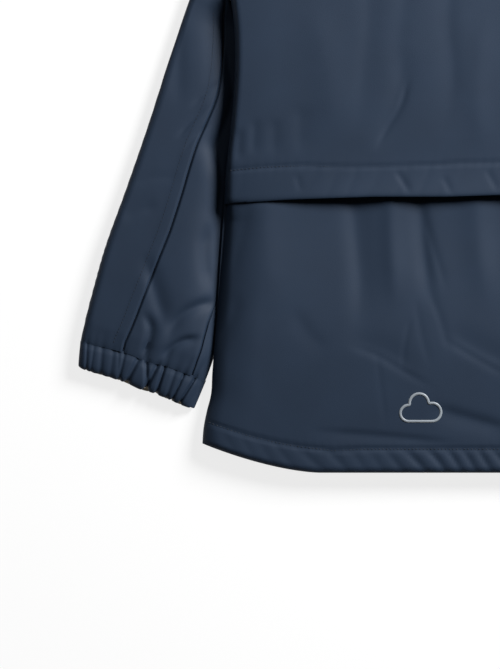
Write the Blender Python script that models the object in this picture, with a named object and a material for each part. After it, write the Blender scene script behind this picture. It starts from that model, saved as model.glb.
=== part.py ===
"""A child's hooded parka of coated cloth with a pile lining, laid flat on its front with its back up.

Every cloth piece is a thin closed wall. The garment is drawn in plan by five edges, each a smooth curve
through a short table: side, sleeve inner edge, sleeve outer edge, shoulder and hood. A piece is a grid of
plan points, and its two faces rise and fall with the distance from those edges, so that the layers round
down to one another at the folds and meet at the seams.

Tables are in millimetres. x runs out from the centre back line, and h runs up from the hem line.
"""

import math
from collections import namedtuple

import bpy
import numpy as np

MM = 0.001

BACK_LENGTH = 559.0
HOOD_HEIGHT = 277.0
HEM_LINE = -(BACK_LENGTH + HOOD_HEIGHT) / 2

WALL = 3.0
FLAP_WALL = 2.0
SEAM = 0.3
ON_EDGE = 0.4

FOLD_LEVEL = 8.5
STUD_HEIGHT = 2.0
OVERLAP = 24.0

LEFT = -1.0
RIGHT = 1.0

Point = namedtuple("Point", "x h")
Level = namedtuple("Level", "h z")
Across = namedtuple("Across", "x h")
Edge = namedtuple("Edge", "line level rounding wedge slope rise")
Fold = namedtuple("Fold", "x1 h1 x2 h2 depth width")
SleeveRow = namedtuple("SleeveRow", "outer_h inner_h ease")

SHOULDER_POINT = Point(183.0, 530.0)
NECK_POINT = Point(75.0, 559.0)
UNDERARM = Point(210.5, 372.0)
BACK_NECK = 546.0
FRONT_NECK = 490.0

SIDE_EDGE = [
    Point(232.0, 22.6), Point(231.3, 33.0), Point(228.5, 48.0), Point(225.4, 60.0), Point(224.4, 76.0),
    Point(221.0, 119.0), Point(218.4, 158.0), Point(215.6, 201.0), Point(214.0, 230.0),
    Point(209.9, 270.0), Point(207.0, 312.0), Point(207.4, 345.0), UNDERARM,
]
ARMHOLE = [
    UNDERARM, Point(190.0, 392.0), Point(175.5, 424.0), Point(170.0, 460.0), Point(173.0, 497.0),
    SHOULDER_POINT,
]
SLEEVE_INNER = [
    UNDERARM, Point(213.4, 369.6), Point(214.6, 364.0), Point(212.6, 353.0), Point(206.0, 337.0),
    Point(199.0, 318.0), Point(196.5, 298.0), Point(198.5, 280.0), Point(205.0, 262.0), Point(213.0, 246.0),
    Point(217.4, 230.0),
    Point(219.4, 212.0), Point(221.8, 190.0), Point(222.4, 150.0), Point(224.4, 115.0), Point(227.0, 90.0),
    Point(232.4, 70.0),
]
SLEEVE_OUTER = [
    Point(326.8, 101.1), Point(322.8, 120.0), Point(316.3, 145.0), Point(309.3, 170.0), Point(291.5, 220.0),
    Point(274.2, 270.0), Point(258.2, 320.0), Point(245.7, 357.0), Point(205.5, 469.0), SHOULDER_POINT,
]
HOOD = [
    NECK_POINT, Point(97.0, 579.0), Point(121.0, 612.0), Point(134.0, 658.0), Point(137.0, 710.0),
    Point(131.0, 757.0), Point(111.0, 799.0), Point(78.0, 825.0), Point(40.0, 834.5), Point(0.15, 836.0),
]
HOOD_CENTRE = [Point(0.15, BACK_NECK), Point(0.15, 640.0), Point(0.15, 730.0), Point(0.15, 795.0)]
HOOD_BRIM = [
    Point(26.0, 504.1), Point(36.0, 540.0), Point(47.0, 600.0), Point(55.0, 660.0), Point(55.0, 710.0),
    Point(44.0, 750.0), Point(25.0, 772.0), Point(0.15, 779.0),
]

CROWN = [
    Level(0.0, 17.2), Level(30.0, 18.6), Level(75.0, 20.0), Level(205.0, 20.5), Level(260.0, 24.5),
    Level(310.0, 26.0), Level(480.0, 26.0), Level(570.0, 21.0), Level(640.0, 20.0), Level(840.0, 20.0),
]
SIDE_LEVEL = [Level(0.0, FOLD_LEVEL), Level(208.3, FOLD_LEVEL), Level(251.3, 14.0), Level(900.0, 14.0)]
SIDE_ROUNDING = [Level(0.0, 11.0), Level(84.0, 9.0), Level(200.0, 8.0), Level(260.0, 9.0), Level(900.0, 9.0)]
SIDE_WEDGE = [Level(0.0, 12.0), Level(208.3, 13.0), Level(251.3, 40.0), Level(900.0, 40.0)]
SIDE_SLOPE = [Level(0.0, 0.0), Level(208.3, 0.0), Level(251.3, 1.0), Level(900.0, 1.0)]
SIDE_TERRACE = [
    Level(0.0, 0.0), Level(70.0, 0.0), Level(206.0, 20.0), Level(236.0, 12.0), Level(262.0, 0.0),
    Level(900.0, 0.0),
]
TERRACE_STEP = 4.5
RIM_RISE = 0.4

HEM_CURVE_START = 140.0
HEM_CURVE_WIDTH = 91.0
HEM_CURVE_RISE = 22.6
HEM_REACH = HEM_CURVE_START + HEM_CURVE_WIDTH
FRONT_HEM_BACK = 1.5
FLAP_REACH = 214.0
FLAP_CORNER = 208.3
FLAP_EDGE = [
    Across(0.0, 215.0), Across(44.0, 213.6), Across(100.0, 213.6), Across(163.0, 211.5),
    Across(214.0, FLAP_CORNER),
]
FLAP_LIFT = 4.5
FLAP_LIFT_REACH = 36.0
FLAP_LIFT_FULL = 120.0
FLAP_LIFT_END = 205.0
FLAP_COVER = 14.0
FLAP_COVER_FULL = 1.5
CLOSURE_FLAT = 26.0
CLOSURE_END_LEFT = 40.0
CLOSURE_END_RIGHT = 44.0

SLEEVE_CROWNS = [
    Level(-22.0, 12.0), Level(-8.0, 13.5), Level(2.0, 14.5), Level(16.0, 16.5), Level(60.0, 19.5),
    Level(110.0, 20.5), Level(900.0, 20.5),
]
SLEEVE_LEAN = math.radians(17.28)
LEAN_X = math.sin(SLEEVE_LEAN)
LEAN_H = math.cos(SLEEVE_LEAN)
CUFF_SEAM_MIDDLE = Point(280.0, 87.0)
SLEEVE_ROUNDING = 20.0
TOP_ROUNDING = 16.0
FLOOR_ROUNDING = 12.0
INNER_LEVEL = 6.0
INNER_ROUNDING = 14.0
ARMHOLE_ROUNDING = 9.0
INNER_FLOOR_ROUNDING = 8.0
TUCKED_LEVEL = 3.3
TUCKED_TOP = 6.7
TUCKED_ROUNDING = 4.0
TUCKED_WIDTH = 34.0
TUCK_STARTS = 228.0
TUCK_FULL_FROM = 262.0
TUCK_FULL_TO = 338.0
TUCK_ENDS = 356.0

SLEEVE_ROWS = [
    SleeveRow(530.0, 372.0, 0.0), SleeveRow(500.0, 371.0, 0.1), SleeveRow(470.0, 369.6, 0.3),
    SleeveRow(440.0, 367.0, 0.55), SleeveRow(412.0, 363.0, 0.8), SleeveRow(388.0, 357.0, 0.95),
    SleeveRow(366.0, 350.0, 1.0),
] + [SleeveRow(366.0 - 264.9 * k / 12, 350.0 - 280.0 * k / 12, 1.0) for k in range(1, 13)]
MAIN_SEAM = [
    Level(0.0, 0.33), Level(94.0, 0.33), Level(130.0, 0.39), Level(186.0, 0.5), Level(230.0, 0.56),
    Level(296.0, 0.67), Level(380.0, 0.72), Level(900.0, 0.74),
]
UNDER_SEAM = [
    Level(0.0, 0.9), Level(83.0, 0.9), Level(131.0, 0.97), Level(150.0, 1.0), Level(240.0, 1.12),
    Level(900.0, 1.18),
]
CUFF_END = [Point(328.6, 82.0), Point(238.6, 49.0)]
SEAM_BOW = 3.0
CUFF_BOW = 2.6
GATHER = 0.9
GATHER_REACH = 26.0
CUFF_GATHERS_OVER = 30
CUFF_GATHERS_UNDER = 14
CUFF_RINGS = 4

BODY_FOLDS = [
    Fold(-165, 198, -165, 153, -1.5, 14), Fold(-85, 206, -85, 153, -2.4, 10),
    Fold(-85, 153, -78, 98, -2.0, 11),
    Fold(-18, 200, -18, 123, -3.0, 12), Fold(-116, 206, -121, 145, 2.2, 10),
    Fold(-121, 140, -116, 94, 2.4, 10),
    Fold(-61, 206, -55, 123, 2.0, 9), Fold(-158, 120, -140, 99, 2.0, 9), Fold(-118, 100, -76, 79, 2.2, 9),
    Fold(-76, 79, -54, 64, 2.0, 9), Fold(-41, 100, 0, 79, 2.0, 9), Fold(-71, 303, -97, 247, 2.8, 9),
    Fold(-107, 357, -107, 320, 1.6, 10), Fold(-75, 345, -73, 318, 1.4, 10), Fold(-43, 308, -43, 290, 1.2, 9),
    Fold(-190, 271, -190, 243, 1.2, 9), Fold(-130, 420, -60, 400, 2.2, 14), Fold(-60, 500, 10, 470, 2.0, 14),
    Fold(30, 196, 36, 120, 2.2, 10), Fold(74, 204, 68, 140, -2.6, 11), Fold(118, 202, 128, 120, 2.4, 10),
    Fold(166, 190, 158, 128, -1.8, 13), Fold(60, 110, 104, 78, 2.4, 9), Fold(132, 96, 170, 70, 2.0, 9),
    Fold(84, 312, 116, 252, 2.6, 9), Fold(40, 350, 46, 300, 1.8, 10), Fold(150, 330, 128, 290, 1.6, 10),
    Fold(60, 430, 140, 404, 2.2, 14), Fold(176, 270, 178, 240, 1.2, 9),
]
SLEEVE_FOLDS = [
    Fold(-225, 131, -245, 122, 2.4, 8), Fold(-245, 122, -257, 107, 2.0, 8),
    Fold(-276, 122, -273, 104, 1.6, 8),
    Fold(-267, 152, -260, 125, 1.6, 8), Fold(-259, 93, -242, 102, 1.8, 8),
    Fold(-231, 257, -224, 231, -2.0, 8),
    Fold(-236, 330, -246, 296, 1.4, 9), Fold(-232, 430, -206, 410, 2.0, 12),
    Fold(228, 140, 252, 124, 2.4, 8), Fold(262, 150, 280, 128, 1.8, 8), Fold(242, 206, 262, 182, 1.8, 9),
    Fold(236, 318, 248, 290, 1.8, 9), Fold(296, 128, 284, 108, 1.8, 8), Fold(204, 440, 228, 404, 2.0, 12),
]
HOOD_FOLDS = [
    Fold(-96, 700, -40, 640, 2.0, 14), Fold(-60, 600, -14, 572, 2.2, 12), Fold(30, 690, 92, 650, 2.0, 14),
    Fold(22, 606, 80, 590, 2.0, 12), Fold(-70, 780, -30, 760, 1.6, 12),
]

ACROSS_STEPS = [0.0, 1.0, 3.5, 8.0, 15.0]
UPPER_ROWS = [
    208.3, 216.0, 225.0, 235.0, 250.3, 251.3, 266.0, 284.0, 302.0, 320.0, 338.0, 356.0, 372.0,
    398.0, 426.0, 454.0, 482.0, 506.0, 518.0, 528.8, 530.0,
]
LOWER_ROWS = [0.0, 0.05, 0.12, 0.22, 0.33, 0.44, 0.55, 0.66, 0.77, 0.87, 0.935, 0.985]
FRONT_ROWS = [
    22.6, 44.9, 83.9, 124.7, 165.6, 208.3, 251.3, 284.0, 320.0, 338.0, 356.0, 372.0,
    398.0, 426.0, 454.0, 482.0, 506.0, 518.0, 528.8, 530.0,
]
ARMHOLE_ROWS = [372.0, 398.0, 426.0, 454.0, 482.0, 506.0, 518.0, 528.8, 530.0]
NECK_COLUMNS = 6
FRONT_NECK_COLUMNS = [75.0, 60.5, 46.0, 26.0]
FRONT_STEPS = [0.0, 1.2, 4.0, 9.0, 16.0, 28.0, 42.0]
HOOD_STEPS = [1.0, 3.5, 8.0, 14.5]
HOOD_ROWS = [0.0, 0.05, 0.12, 0.2, 0.3, 0.4, 0.5, 0.6, 0.7, 0.79, 0.87, 0.94, 1.0]
JOINT_ROW = 250.3
STUD_HEIGHTS = [52.0, 152.0, 252.0, 352.0, 452.0]
STUD_RADIUS = 6.5


def eased(low, high, value):
    share = np.clip((value - low) / (high - low), 0.0, 1.0)
    return share * share * (3.0 - 2.0 * share)


def rounded(share):
    """Quarter circle: 0 at the fold, 1 where the rounding ends."""
    return np.sqrt(1.0 - (1.0 - np.clip(share, 0.0, 1.0)) ** 2)


def at(table, value):
    return np.interp(value, [row[0] for row in table], [row[1] for row in table])


def curve(points, step=5.0):
    """A polyline with a point every few millimetres of a smooth curve through the given points."""
    knots = np.array([tuple(point) for point in points], float)
    lengths = np.hypot(*np.diff(knots, axis=0).T)
    marks = np.concatenate([[0.0], np.cumsum(lengths)])
    slopes = np.gradient(knots, marks, axis=0)
    along = np.linspace(0.0, marks[-1], max(2, int(marks[-1] / step) + 1))
    k = np.clip(np.searchsorted(marks, along, side="right") - 1, 0, len(lengths) - 1)
    span = lengths[k][:, None]
    t = (along - marks[k])[:, None] / span
    start = knots[k] * (1 + 2 * t) * (1 - t) ** 2 + slopes[k] * span * t * (1 - t) ** 2
    end = knots[k + 1] * t * t * (3 - 2 * t) + slopes[k + 1] * span * t * t * (t - 1)
    return start + end


def point_at(line, share):
    """Plan points at shares of a polyline's length."""
    lengths = np.hypot(*np.diff(line, axis=0).T)
    marks = np.concatenate([[0.0], np.cumsum(lengths)]) / lengths.sum()
    return np.interp(share, marks, line[:, 0]), np.interp(share, marks, line[:, 1])


def x_at(line, h):
    """Where a line that climbs or falls steadily stands at each height."""
    order = np.argsort(line[:, 1])
    return np.interp(h, line[order, 1], line[order, 0])


SIDE_LEVELS = np.array([level for level in FRONT_ROWS if level <= UNDERARM.h])
SIDE_LINE = np.stack([x_at(curve(SIDE_EDGE), SIDE_LEVELS), SIDE_LEVELS], axis=1)
ARMHOLE_LINE = curve(ARMHOLE)
INNER_LINE = curve(SLEEVE_INNER + [CUFF_END[1]])
OUTER_LINE = curve([CUFF_END[0]] + SLEEVE_OUTER)
HOOD_LINE = curve(HOOD)
TOP_LINE = np.concatenate([[SHOULDER_POINT], HOOD_LINE])


def nearest(line, x, h):
    """Distance from each plan point to an edge, and the direction that leads inward from it."""
    best = np.full(x.shape, np.inf)
    away_x = np.zeros(x.shape)
    away_h = np.zeros(x.shape)
    for (start_x, start_h), (end_x, end_h) in zip(line, line[1:]):
        run_x = end_x - start_x
        run_h = end_h - start_h
        length = math.hypot(run_x, run_h)
        share = np.clip(((x - start_x) * run_x + (h - start_h) * run_h) / length ** 2, 0.0, 1.0)
        off_x = x - start_x - share * run_x
        off_h = h - start_h - share * run_h
        distance = np.hypot(off_x, off_h)
        on_edge = distance < ON_EDGE
        scale = np.where(on_edge, 1.0, distance)
        closer = distance < best
        best = np.where(closer, distance, best)
        away_x = np.where(closer, np.where(on_edge, -run_h / length, off_x / scale), away_x)
        away_h = np.where(closer, np.where(on_edge, run_x / length, off_h / scale), away_h)
    return best, away_x, away_h


def folded(table, x, h):
    """How far the creases press the cloth down at each signed plan point."""
    total = np.zeros(x.shape)
    for fold in table:
        run_x = fold.x2 - fold.x1
        run_h = fold.h2 - fold.h1
        share = np.clip(((x - fold.x1) * run_x + (h - fold.h1) * run_h) / (run_x ** 2 + run_h ** 2), 0.0, 1.0)
        distance = np.hypot(x - fold.x1 - share * run_x, h - fold.h1 - share * run_h)
        total += fold.depth * np.exp(-((distance / fold.width) ** 2))
    return total


def body_edges(h):
    """The folds that a body or hood panel rounds down to."""
    slope = at(SIDE_SLOPE, h)
    rounding = at(SIDE_ROUNDING, h)
    side = Edge(SIDE_LINE, at(SIDE_LEVEL, h), rounding, at(SIDE_WEDGE, h), slope, RIM_RISE * slope)
    sleeve = Edge(OUTER_LINE, FOLD_LEVEL, SLEEVE_ROUNDING, FLOOR_ROUNDING, 0.0, 0.0)
    top = Edge(TOP_LINE, FOLD_LEVEL, TOP_ROUNDING, FLOOR_ROUNDING, 0.0, 0.0)
    return [side, sleeve, top]


def body_layer(x, h, depth, under, table=BODY_FOLDS, side=1.0):
    """Points of the back (or, under, of the front) at a depth below its outer face."""
    crown = at(CROWN, h)
    height = np.zeros(x.shape)
    into_x = np.zeros(x.shape)
    into_h = np.zeros(x.shape)
    flat = np.ones(x.shape)
    rise = np.zeros(x.shape)
    edges = body_edges(h)
    for edge in edges:
        distance, away_x, away_h = nearest(edge.line, x, h)
        reach = FLOOR_ROUNDING if under else edge.rounding
        curl = rounded(distance / reach)
        if under:
            share = np.clip(1.0 - distance / edge.wedge, 0.0, 1.0)
            bowl = 1.0 - rounded(distance / edge.wedge)
            height = np.maximum(height, edge.level * ((1.0 - edge.slope) * bowl + edge.slope * share ** 1.3))
        else:
            height = np.maximum(height, (crown - edge.level) * (1.0 - curl))
            if edge is edges[0]:
                shelf = at(SIDE_TERRACE, h)
                on_shelf = 1.0 - eased(shelf - 4.0, shelf + 5.0, distance)
                height = np.maximum(height, TERRACE_STEP * eased(0.0, 10.0, shelf) * on_shelf)
        pull = depth * np.clip(1.0 - distance / reach, 0.0, 1.0)
        into_x = into_x + away_x * pull
        into_h = into_h + away_h * pull
        flat = np.minimum(flat, curl)
        rise = rise + edge.rise * (1.0 - curl)
    apart = SEAM / 2 * (1.0 - flat)
    if under:
        z = height + depth * flat + depth * rise - apart
    else:
        z = crown - height - depth * flat + depth * rise - folded(table, side * x, h) * flat ** 2 + apart
    return x + into_x, h + into_h, z


def along_sleeve(x, h):
    """How far a plan point lies above the cuff seam, along the sleeve."""
    return (h - CUFF_SEAM_MIDDLE.h) * LEAN_H - (x - CUFF_SEAM_MIDDLE.x) * LEAN_X


def sleeve_layer(x, h, depth, under, ease, side, gathers):
    """Points of a sleeve or cuff at a depth below its outer face; ease 0 follows the body, at the armhole."""
    found = [nearest(line, x, h) for line in (OUTER_LINE, INNER_LINE, TOP_LINE)]
    inner = found[1][0]
    tucked = eased(TUCK_STARTS, TUCK_FULL_FROM, h) * (1.0 - eased(TUCK_FULL_TO, TUCK_ENDS, h))
    level = INNER_LEVEL + (TUCKED_LEVEL - INNER_LEVEL) * tucked
    loose = INNER_FLOOR_ROUNDING if under else INNER_ROUNDING
    sewn = FLOOR_ROUNDING if under else ARMHOLE_ROUNDING
    inner_reach = sewn + ease * (loose + (TUCKED_ROUNDING - loose) * tucked - sewn)
    reaches = [SLEEVE_ROUNDING, inner_reach, TOP_ROUNDING]
    if under:
        reaches = [FLOOR_ROUNDING, inner_reach, FLOOR_ROUNDING]
    curls = [rounded(edge[0] / reach) for edge, reach in zip(found, reaches)]
    flat = np.minimum(np.minimum(curls[0], curls[1]), curls[2])
    if under:
        own = np.maximum(FOLD_LEVEL * (1.0 - curls[0]), level * (1.0 - curls[1]))
    else:
        crown = at(SLEEVE_CROWNS, along_sleeve(x, h))
        free = level + (crown - level) * rounded(inner / INNER_ROUNDING)
        slack = TUCKED_LEVEL + (TUCKED_TOP - TUCKED_LEVEL) * rounded(inner / TUCKED_ROUNDING)
        slack = slack + (crown - TUCKED_TOP) * eased(6.0, TUCKED_WIDTH, inner)
        fall = crown - free - (slack - free) * tucked
        own = crown - np.maximum((crown - FOLD_LEVEL) * (1.0 - curls[0]), fall)
        clear = curls[0] ** 2 * eased(4.0, 12.0 + 20.0 * tucked, inner)
        own = own - folded(SLEEVE_FOLDS, side * x, h) * clear + gathers * clear
    body = body_layer(x, h, 0.0, under, side=side)[2]
    z = body + (own - body) * ease
    moved_x = x
    moved_h = h
    for (distance, away_x, away_h), reach in zip(found, reaches):
        pull = depth * np.clip(1.0 - distance / reach, 0.0, 1.0)
        moved_x = moved_x + pull * away_x
        moved_h = moved_h + pull * away_h
    rise = RIM_RISE * (1.0 - ease) * (1.0 - curls[1])
    if under:
        z = z + depth * flat + depth * rise
    else:
        z = z - depth * flat + depth * rise
    return moved_x, moved_h, z


def placed(x, h, z, side=1.0):
    """World coordinates in metres."""
    return np.stack([side * x, h + HEM_LINE, z], axis=-1) * MM


def finish(name, colour, roughness, metallic=0.0):
    material = bpy.data.materials.new(name)
    material.use_nodes = True
    shader = material.node_tree.nodes["Principled BSDF"]
    shader.inputs["Base Color"].default_value = (*colour, 1.0)
    shader.inputs["Roughness"].default_value = roughness
    shader.inputs["Metallic"].default_value = metallic
    return material


def wall(name, outer, inner, material, ring=False):
    """A closed wall between two grids of points; a ring has its first and last columns joined."""
    rows, columns, _ = outer.shape
    points = np.concatenate([outer.reshape(-1, 3), inner.reshape(-1, 3)])
    inside = rows * columns
    faces = []
    last = columns if ring else columns - 1
    for r in range(rows - 1):
        for c in range(last):
            a = r * columns + c
            b = r * columns + (c + 1) % columns
            faces.append((a, b, b + columns, a + columns))
            faces.append((inside + a, inside + a + columns, inside + b + columns, inside + b))
    for r, turn in ((0, False), (rows - 1, True)):
        for c in range(last):
            a = r * columns + c
            b = r * columns + (c + 1) % columns
            halves = [(a, inside + a, inside + b), (a, inside + b, b)]
            faces += [half[::-1] for half in halves] if turn else halves
    if not ring:
        for c, turn in ((0, True), (columns - 1, False)):
            for r in range(rows - 1):
                a = r * columns + c
                b = a + columns
                halves = [(a, inside + a, inside + b), (a, inside + b, b)]
                faces += [half[::-1] for half in halves] if turn else halves
    mesh = bpy.data.meshes.new(name)
    mesh.from_pydata(points.tolist(), [], faces)
    if signed_volume(points, faces) < 0.0:
        mesh.flip_normals()
    mesh.shade_smooth()
    mesh.set_sharp_from_angle(angle=math.radians(50.0))
    mesh.materials.append(material)
    piece = bpy.data.objects.new(name, mesh)
    bpy.context.scene.collection.objects.link(piece)
    return piece


def signed_volume(points, faces):
    total = 0.0
    for face in faces:
        for k in range(1, len(face) - 1):
            total += np.dot(points[face[0]], np.cross(points[face[k]], points[face[k + 1]]))
    return total


def hem_rise(x):
    return HEM_CURVE_RISE * (np.clip(np.abs(x) - HEM_CURVE_START, 0.0, None) / HEM_CURVE_WIDTH) ** 1.6


def back_top(x):
    """Shoulder seam and back neck."""
    pitch = (NECK_POINT.h - SHOULDER_POINT.h) / (SHOULDER_POINT.x - NECK_POINT.x)
    shoulder = SHOULDER_POINT.h + (SHOULDER_POINT.x - x) * pitch
    neck = BACK_NECK + (NECK_POINT.h - BACK_NECK) * (x / NECK_POINT.x) ** 2
    return np.where(x > NECK_POINT.x, shoulder, neck)


def front_top(x):
    """Shoulder seam and front neckline."""
    neck = FRONT_NECK + (NECK_POINT.h - FRONT_NECK) * (np.clip(x, 0.0, None) / NECK_POINT.x) ** 1.5
    return np.where(x > NECK_POINT.x, back_top(x), neck)


def armhole_x(level):
    """The armhole as straight chords between rows, so that the sleeve's edge runs along the body's."""
    return np.interp(level, ARMHOLE_ROWS, x_at(ARMHOLE_LINE, np.array(ARMHOLE_ROWS)))


def front_neck(x):
    """The front neckline as straight chords between the fronts' columns."""
    knots = FRONT_NECK_COLUMNS[::-1]
    return np.interp(x, knots, front_top(np.array(knots)))


def body_reach(level):
    """Half width of a body panel where its side edge or armhole stands at this height."""
    side = x_at(SIDE_LINE, level)
    armhole = armhole_x(level) - SEAM / 2
    return np.where(level > UNDERARM.h, armhole, side)


def half_columns(reach, steps, outer_count, rest):
    """Distances from the centre line: fine steps at the edge, even ones to the neck column, then the rest."""
    neck = NECK_POINT.x / SHOULDER_POINT.x * reach
    start = reach - steps[-1]
    fine = [reach - step for step in steps]
    outer = [start + (neck - start) * k / outer_count for k in range(1, outer_count + 1)]
    return fine + outer + rest(neck)


def upper_height(x, level, reach):
    """Height of a point of the upper back whose row stands at this level on the side edge."""
    share = (level - FLAP_CORNER) / (SHOULDER_POINT.h - FLAP_CORNER)
    across = np.abs(x) / reach
    flap = (at(FLAP_EDGE, across * FLAP_REACH) - FLAP_CORNER) * (1.0 - share)
    return level + flap + (back_top(across * SHOULDER_POINT.x) - SHOULDER_POINT.h) * share


def back_columns(reach):
    steps = range(1, NECK_COLUMNS + 1)
    half = half_columns(reach, ACROSS_STEPS, 8, lambda neck: [neck * (1.0 - k / NECK_COLUMNS) for k in steps])
    return [-x for x in half] + half[-2::-1]


def signed_layer(x, h, depth, **options):
    """Body layer for points of both halves, by their signed distance from the centre line."""
    side = np.where(x < 0.0, LEFT, RIGHT)
    moved_x, moved_h, z = body_layer(np.abs(x), h, depth, False, side=side, **options)
    return side * moved_x, moved_h, z


def upper_plan(levels):
    """Plan points of the upper back for rows at these levels, and the levels as a grid."""
    x = np.array([back_columns(float(body_reach(np.array(level)))) for level in levels])
    level = np.array(levels)[:, None] + 0.0 * x
    return x, upper_height(x, level, body_reach(level)), level


def make_back_upper(cloth):
    x, h, level = upper_plan(UPPER_ROWS)
    above_edge = h - at(FLAP_EDGE, np.abs(x))
    hang = FLAP_LIFT * (1.0 - eased(FLAP_LIFT_FULL, FLAP_LIFT_END, np.abs(x)))
    hang = hang * np.clip(1.0 - above_edge / FLAP_LIFT_REACH, 0.0, 1.0) ** 2
    depth = np.where(level > JOINT_ROW, WALL, FLAP_WALL)
    faces = []
    for below in (0.0, depth):
        px, ph, z = signed_layer(x, h, below)
        faces.append(placed(px, ph, z + hang))
    return wall("back_upper", faces[0], faces[1], cloth)


def make_back_lower(cloth):
    flap_x, flap_h, _ = upper_plan([level for level in UPPER_ROWS if level <= JOINT_ROW])
    flap_h[-1] -= SEAM
    rows_x = []
    rows_h = []
    for share in LOWER_ROWS:
        reach = float(body_reach(np.array(HEM_CURVE_RISE + share * (FLAP_CORNER - HEM_CURVE_RISE))))
        across = np.array(back_columns(reach))
        rows_x.append(across)
        part = np.abs(across) / reach
        rows_h.append(hem_rise(part * HEM_REACH) * (1.0 - share) + at(FLAP_EDGE, part * FLAP_REACH) * share)
    x = np.concatenate([rows_x, flap_x])
    h = np.concatenate([rows_h, flap_h])
    flap = at(FLAP_EDGE, np.abs(x))
    covered = (FLAP_WALL + SEAM) * eased(flap - FLAP_COVER, flap - FLAP_COVER_FULL, h)
    faces = []
    for depth in (covered, covered + WALL):
        px, ph, z = signed_layer(x, h, depth)
        faces.append(placed(px, ph, z))
    return wall("back_lower", faces[0], faces[1], cloth)


def closure_height(side, x):
    """How far the centre edges stand off the floor: the left one on the studs, the right one on the left."""
    if side == LEFT:
        return (STUD_HEIGHT + SEAM) * (1.0 - eased(CLOSURE_FLAT, CLOSURE_END_LEFT, x))
    return (STUD_HEIGHT + WALL + 2 * SEAM) * (1.0 - eased(CLOSURE_FLAT, CLOSURE_END_RIGHT, x))


def make_front(name, side, cloth):
    rows = []
    for level in FRONT_ROWS:
        reach = float(body_reach(np.array(level)))
        across = np.array(half_columns(reach, FRONT_STEPS, 4, lambda neck: [
            neck + (46.0 - neck) / 2, 46.0, 26.0, 0.0, -OVERLAP]))
        share = (level - HEM_CURVE_RISE) / (SHOULDER_POINT.h - HEM_CURVE_RISE)
        part = across / reach
        top_x = np.where(across > 46.0, part * SHOULDER_POINT.x, across)
        hem = hem_rise(part * HEM_REACH) + FRONT_HEM_BACK * (1.0 - part ** 6) - HEM_CURVE_RISE
        rows.append((across, level + hem * (1.0 - share) + (front_top(top_x) - SHOULDER_POINT.h) * share))
    x = np.array([row[0] for row in rows])
    h = np.array([row[1] for row in rows])
    lift = closure_height(side, x)
    faces = []
    for depth in (0.0, WALL):
        px, ph, z = body_layer(x, h, depth, True)
        faces.append(placed(px, ph, z + lift, side))
    return wall(name, faces[0], faces[1], cloth)


def spread(turn):
    """Share across a flat tube for a turn around it: 0 outer fold, 1 inner fold, back to 0 at 2."""
    t = np.mod(turn, 2.0)
    t = np.where(t > 1.0, 2.0 - t, t)
    return 0.4 * t + 0.6 * 0.5 * (1.0 - np.cos(math.pi * t))


def turn_at(share):
    """The turn, from 0 to 2, at which a seam lies; shares above 1 are on the floor side."""
    turns = np.linspace(0.0, 1.0, 101)
    over = np.interp(share, spread(turns), turns)
    below = 2.0 - np.interp(2.0 - share, spread(turns), turns)
    return np.where(share > 1.0, below, over)


def sleeve_plan(turn, row):
    """Plan points around one sleeve section."""
    share = spread(turn)
    outer_x = x_at(OUTER_LINE, row.outer_h)
    inner_x = x_at(INNER_LINE, row.inner_h)
    x = outer_x + (inner_x - outer_x) * share
    h = row.outer_h + (row.inner_h - row.outer_h) * share
    armhole_h = SHOULDER_POINT.h + (UNDERARM.h - SHOULDER_POINT.h) * share
    chord_x = SHOULDER_POINT.x + (UNDERARM.x - SHOULDER_POINT.x) * share
    scoop = armhole_x(armhole_h) - chord_x
    bow = SEAM_BOW * 4.0 * share * (1.0 - share) * (1.0 - eased(0.0, 60.0, along_sleeve(x, h)))
    x = x + scoop * (1.0 - row.ease) ** 3 - LEAN_X * bow
    h = h + LEAN_H * bow
    if row.ease == 0.0:
        x = x + SEAM / 2
    return x, h


def armhole_turns(over, under, wrap):
    """Turns round the sleeve's first row that stand at given heights of the armhole."""
    span = SHOULDER_POINT.h - UNDERARM.h
    top = [float(turn_at((SHOULDER_POINT.h - h) / span)) for h in over]
    floor = [float(turn_at(1.0 + (h - UNDERARM.h) / span)) for h in under]
    return np.array(floor + [2.0 + turn for turn in top] if wrap else top + floor)


def sleeve_panel(name, side, first, last, armhole, cloth):
    """One panel of a sleeve, between two seams; its first row stands at the armhole's turns."""
    outer = []
    inner = []
    columns = len(armhole)
    for row in SLEEVE_ROWS:
        gap = SEAM / 2 / abs(x_at(OUTER_LINE, row.outer_h) - x_at(INNER_LINE, row.inner_h))
        start = float(turn_at(first(row)))
        end = float(turn_at(last(row)))
        end = end + 2.0 if end < start else end
        turn = armhole + (np.linspace(start, end, columns) - armhole) * row.ease
        turn[0] += gap
        turn[-1] -= gap
        x, h = sleeve_plan(turn, row)
        under = np.mod(turn, 2.0) > 1.0
        ease = np.full(x.shape, row.ease)
        wave = np.where(np.arange(columns) % 2, 1.0, -1.0)
        gathers = GATHER * wave * (1.0 - eased(0.0, GATHER_REACH, along_sleeve(x, h)))
        for grid, depth in ((outer, 0.0), (inner, WALL)):
            top = placed(*sleeve_layer(x, h, depth, False, ease, side, gathers), side)
            floor = placed(*sleeve_layer(x, h, depth, True, ease, side, gathers), side)
            grid.append(np.where(under[:, None], floor, top))
    return wall(name, np.array(outer), np.array(inner), cloth)


def main_seam(row):
    return at(MAIN_SEAM, row.outer_h * 0.5 + row.inner_h * 0.5)


def under_seam(row):
    return at(UNDER_SEAM, row.inner_h)


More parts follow.
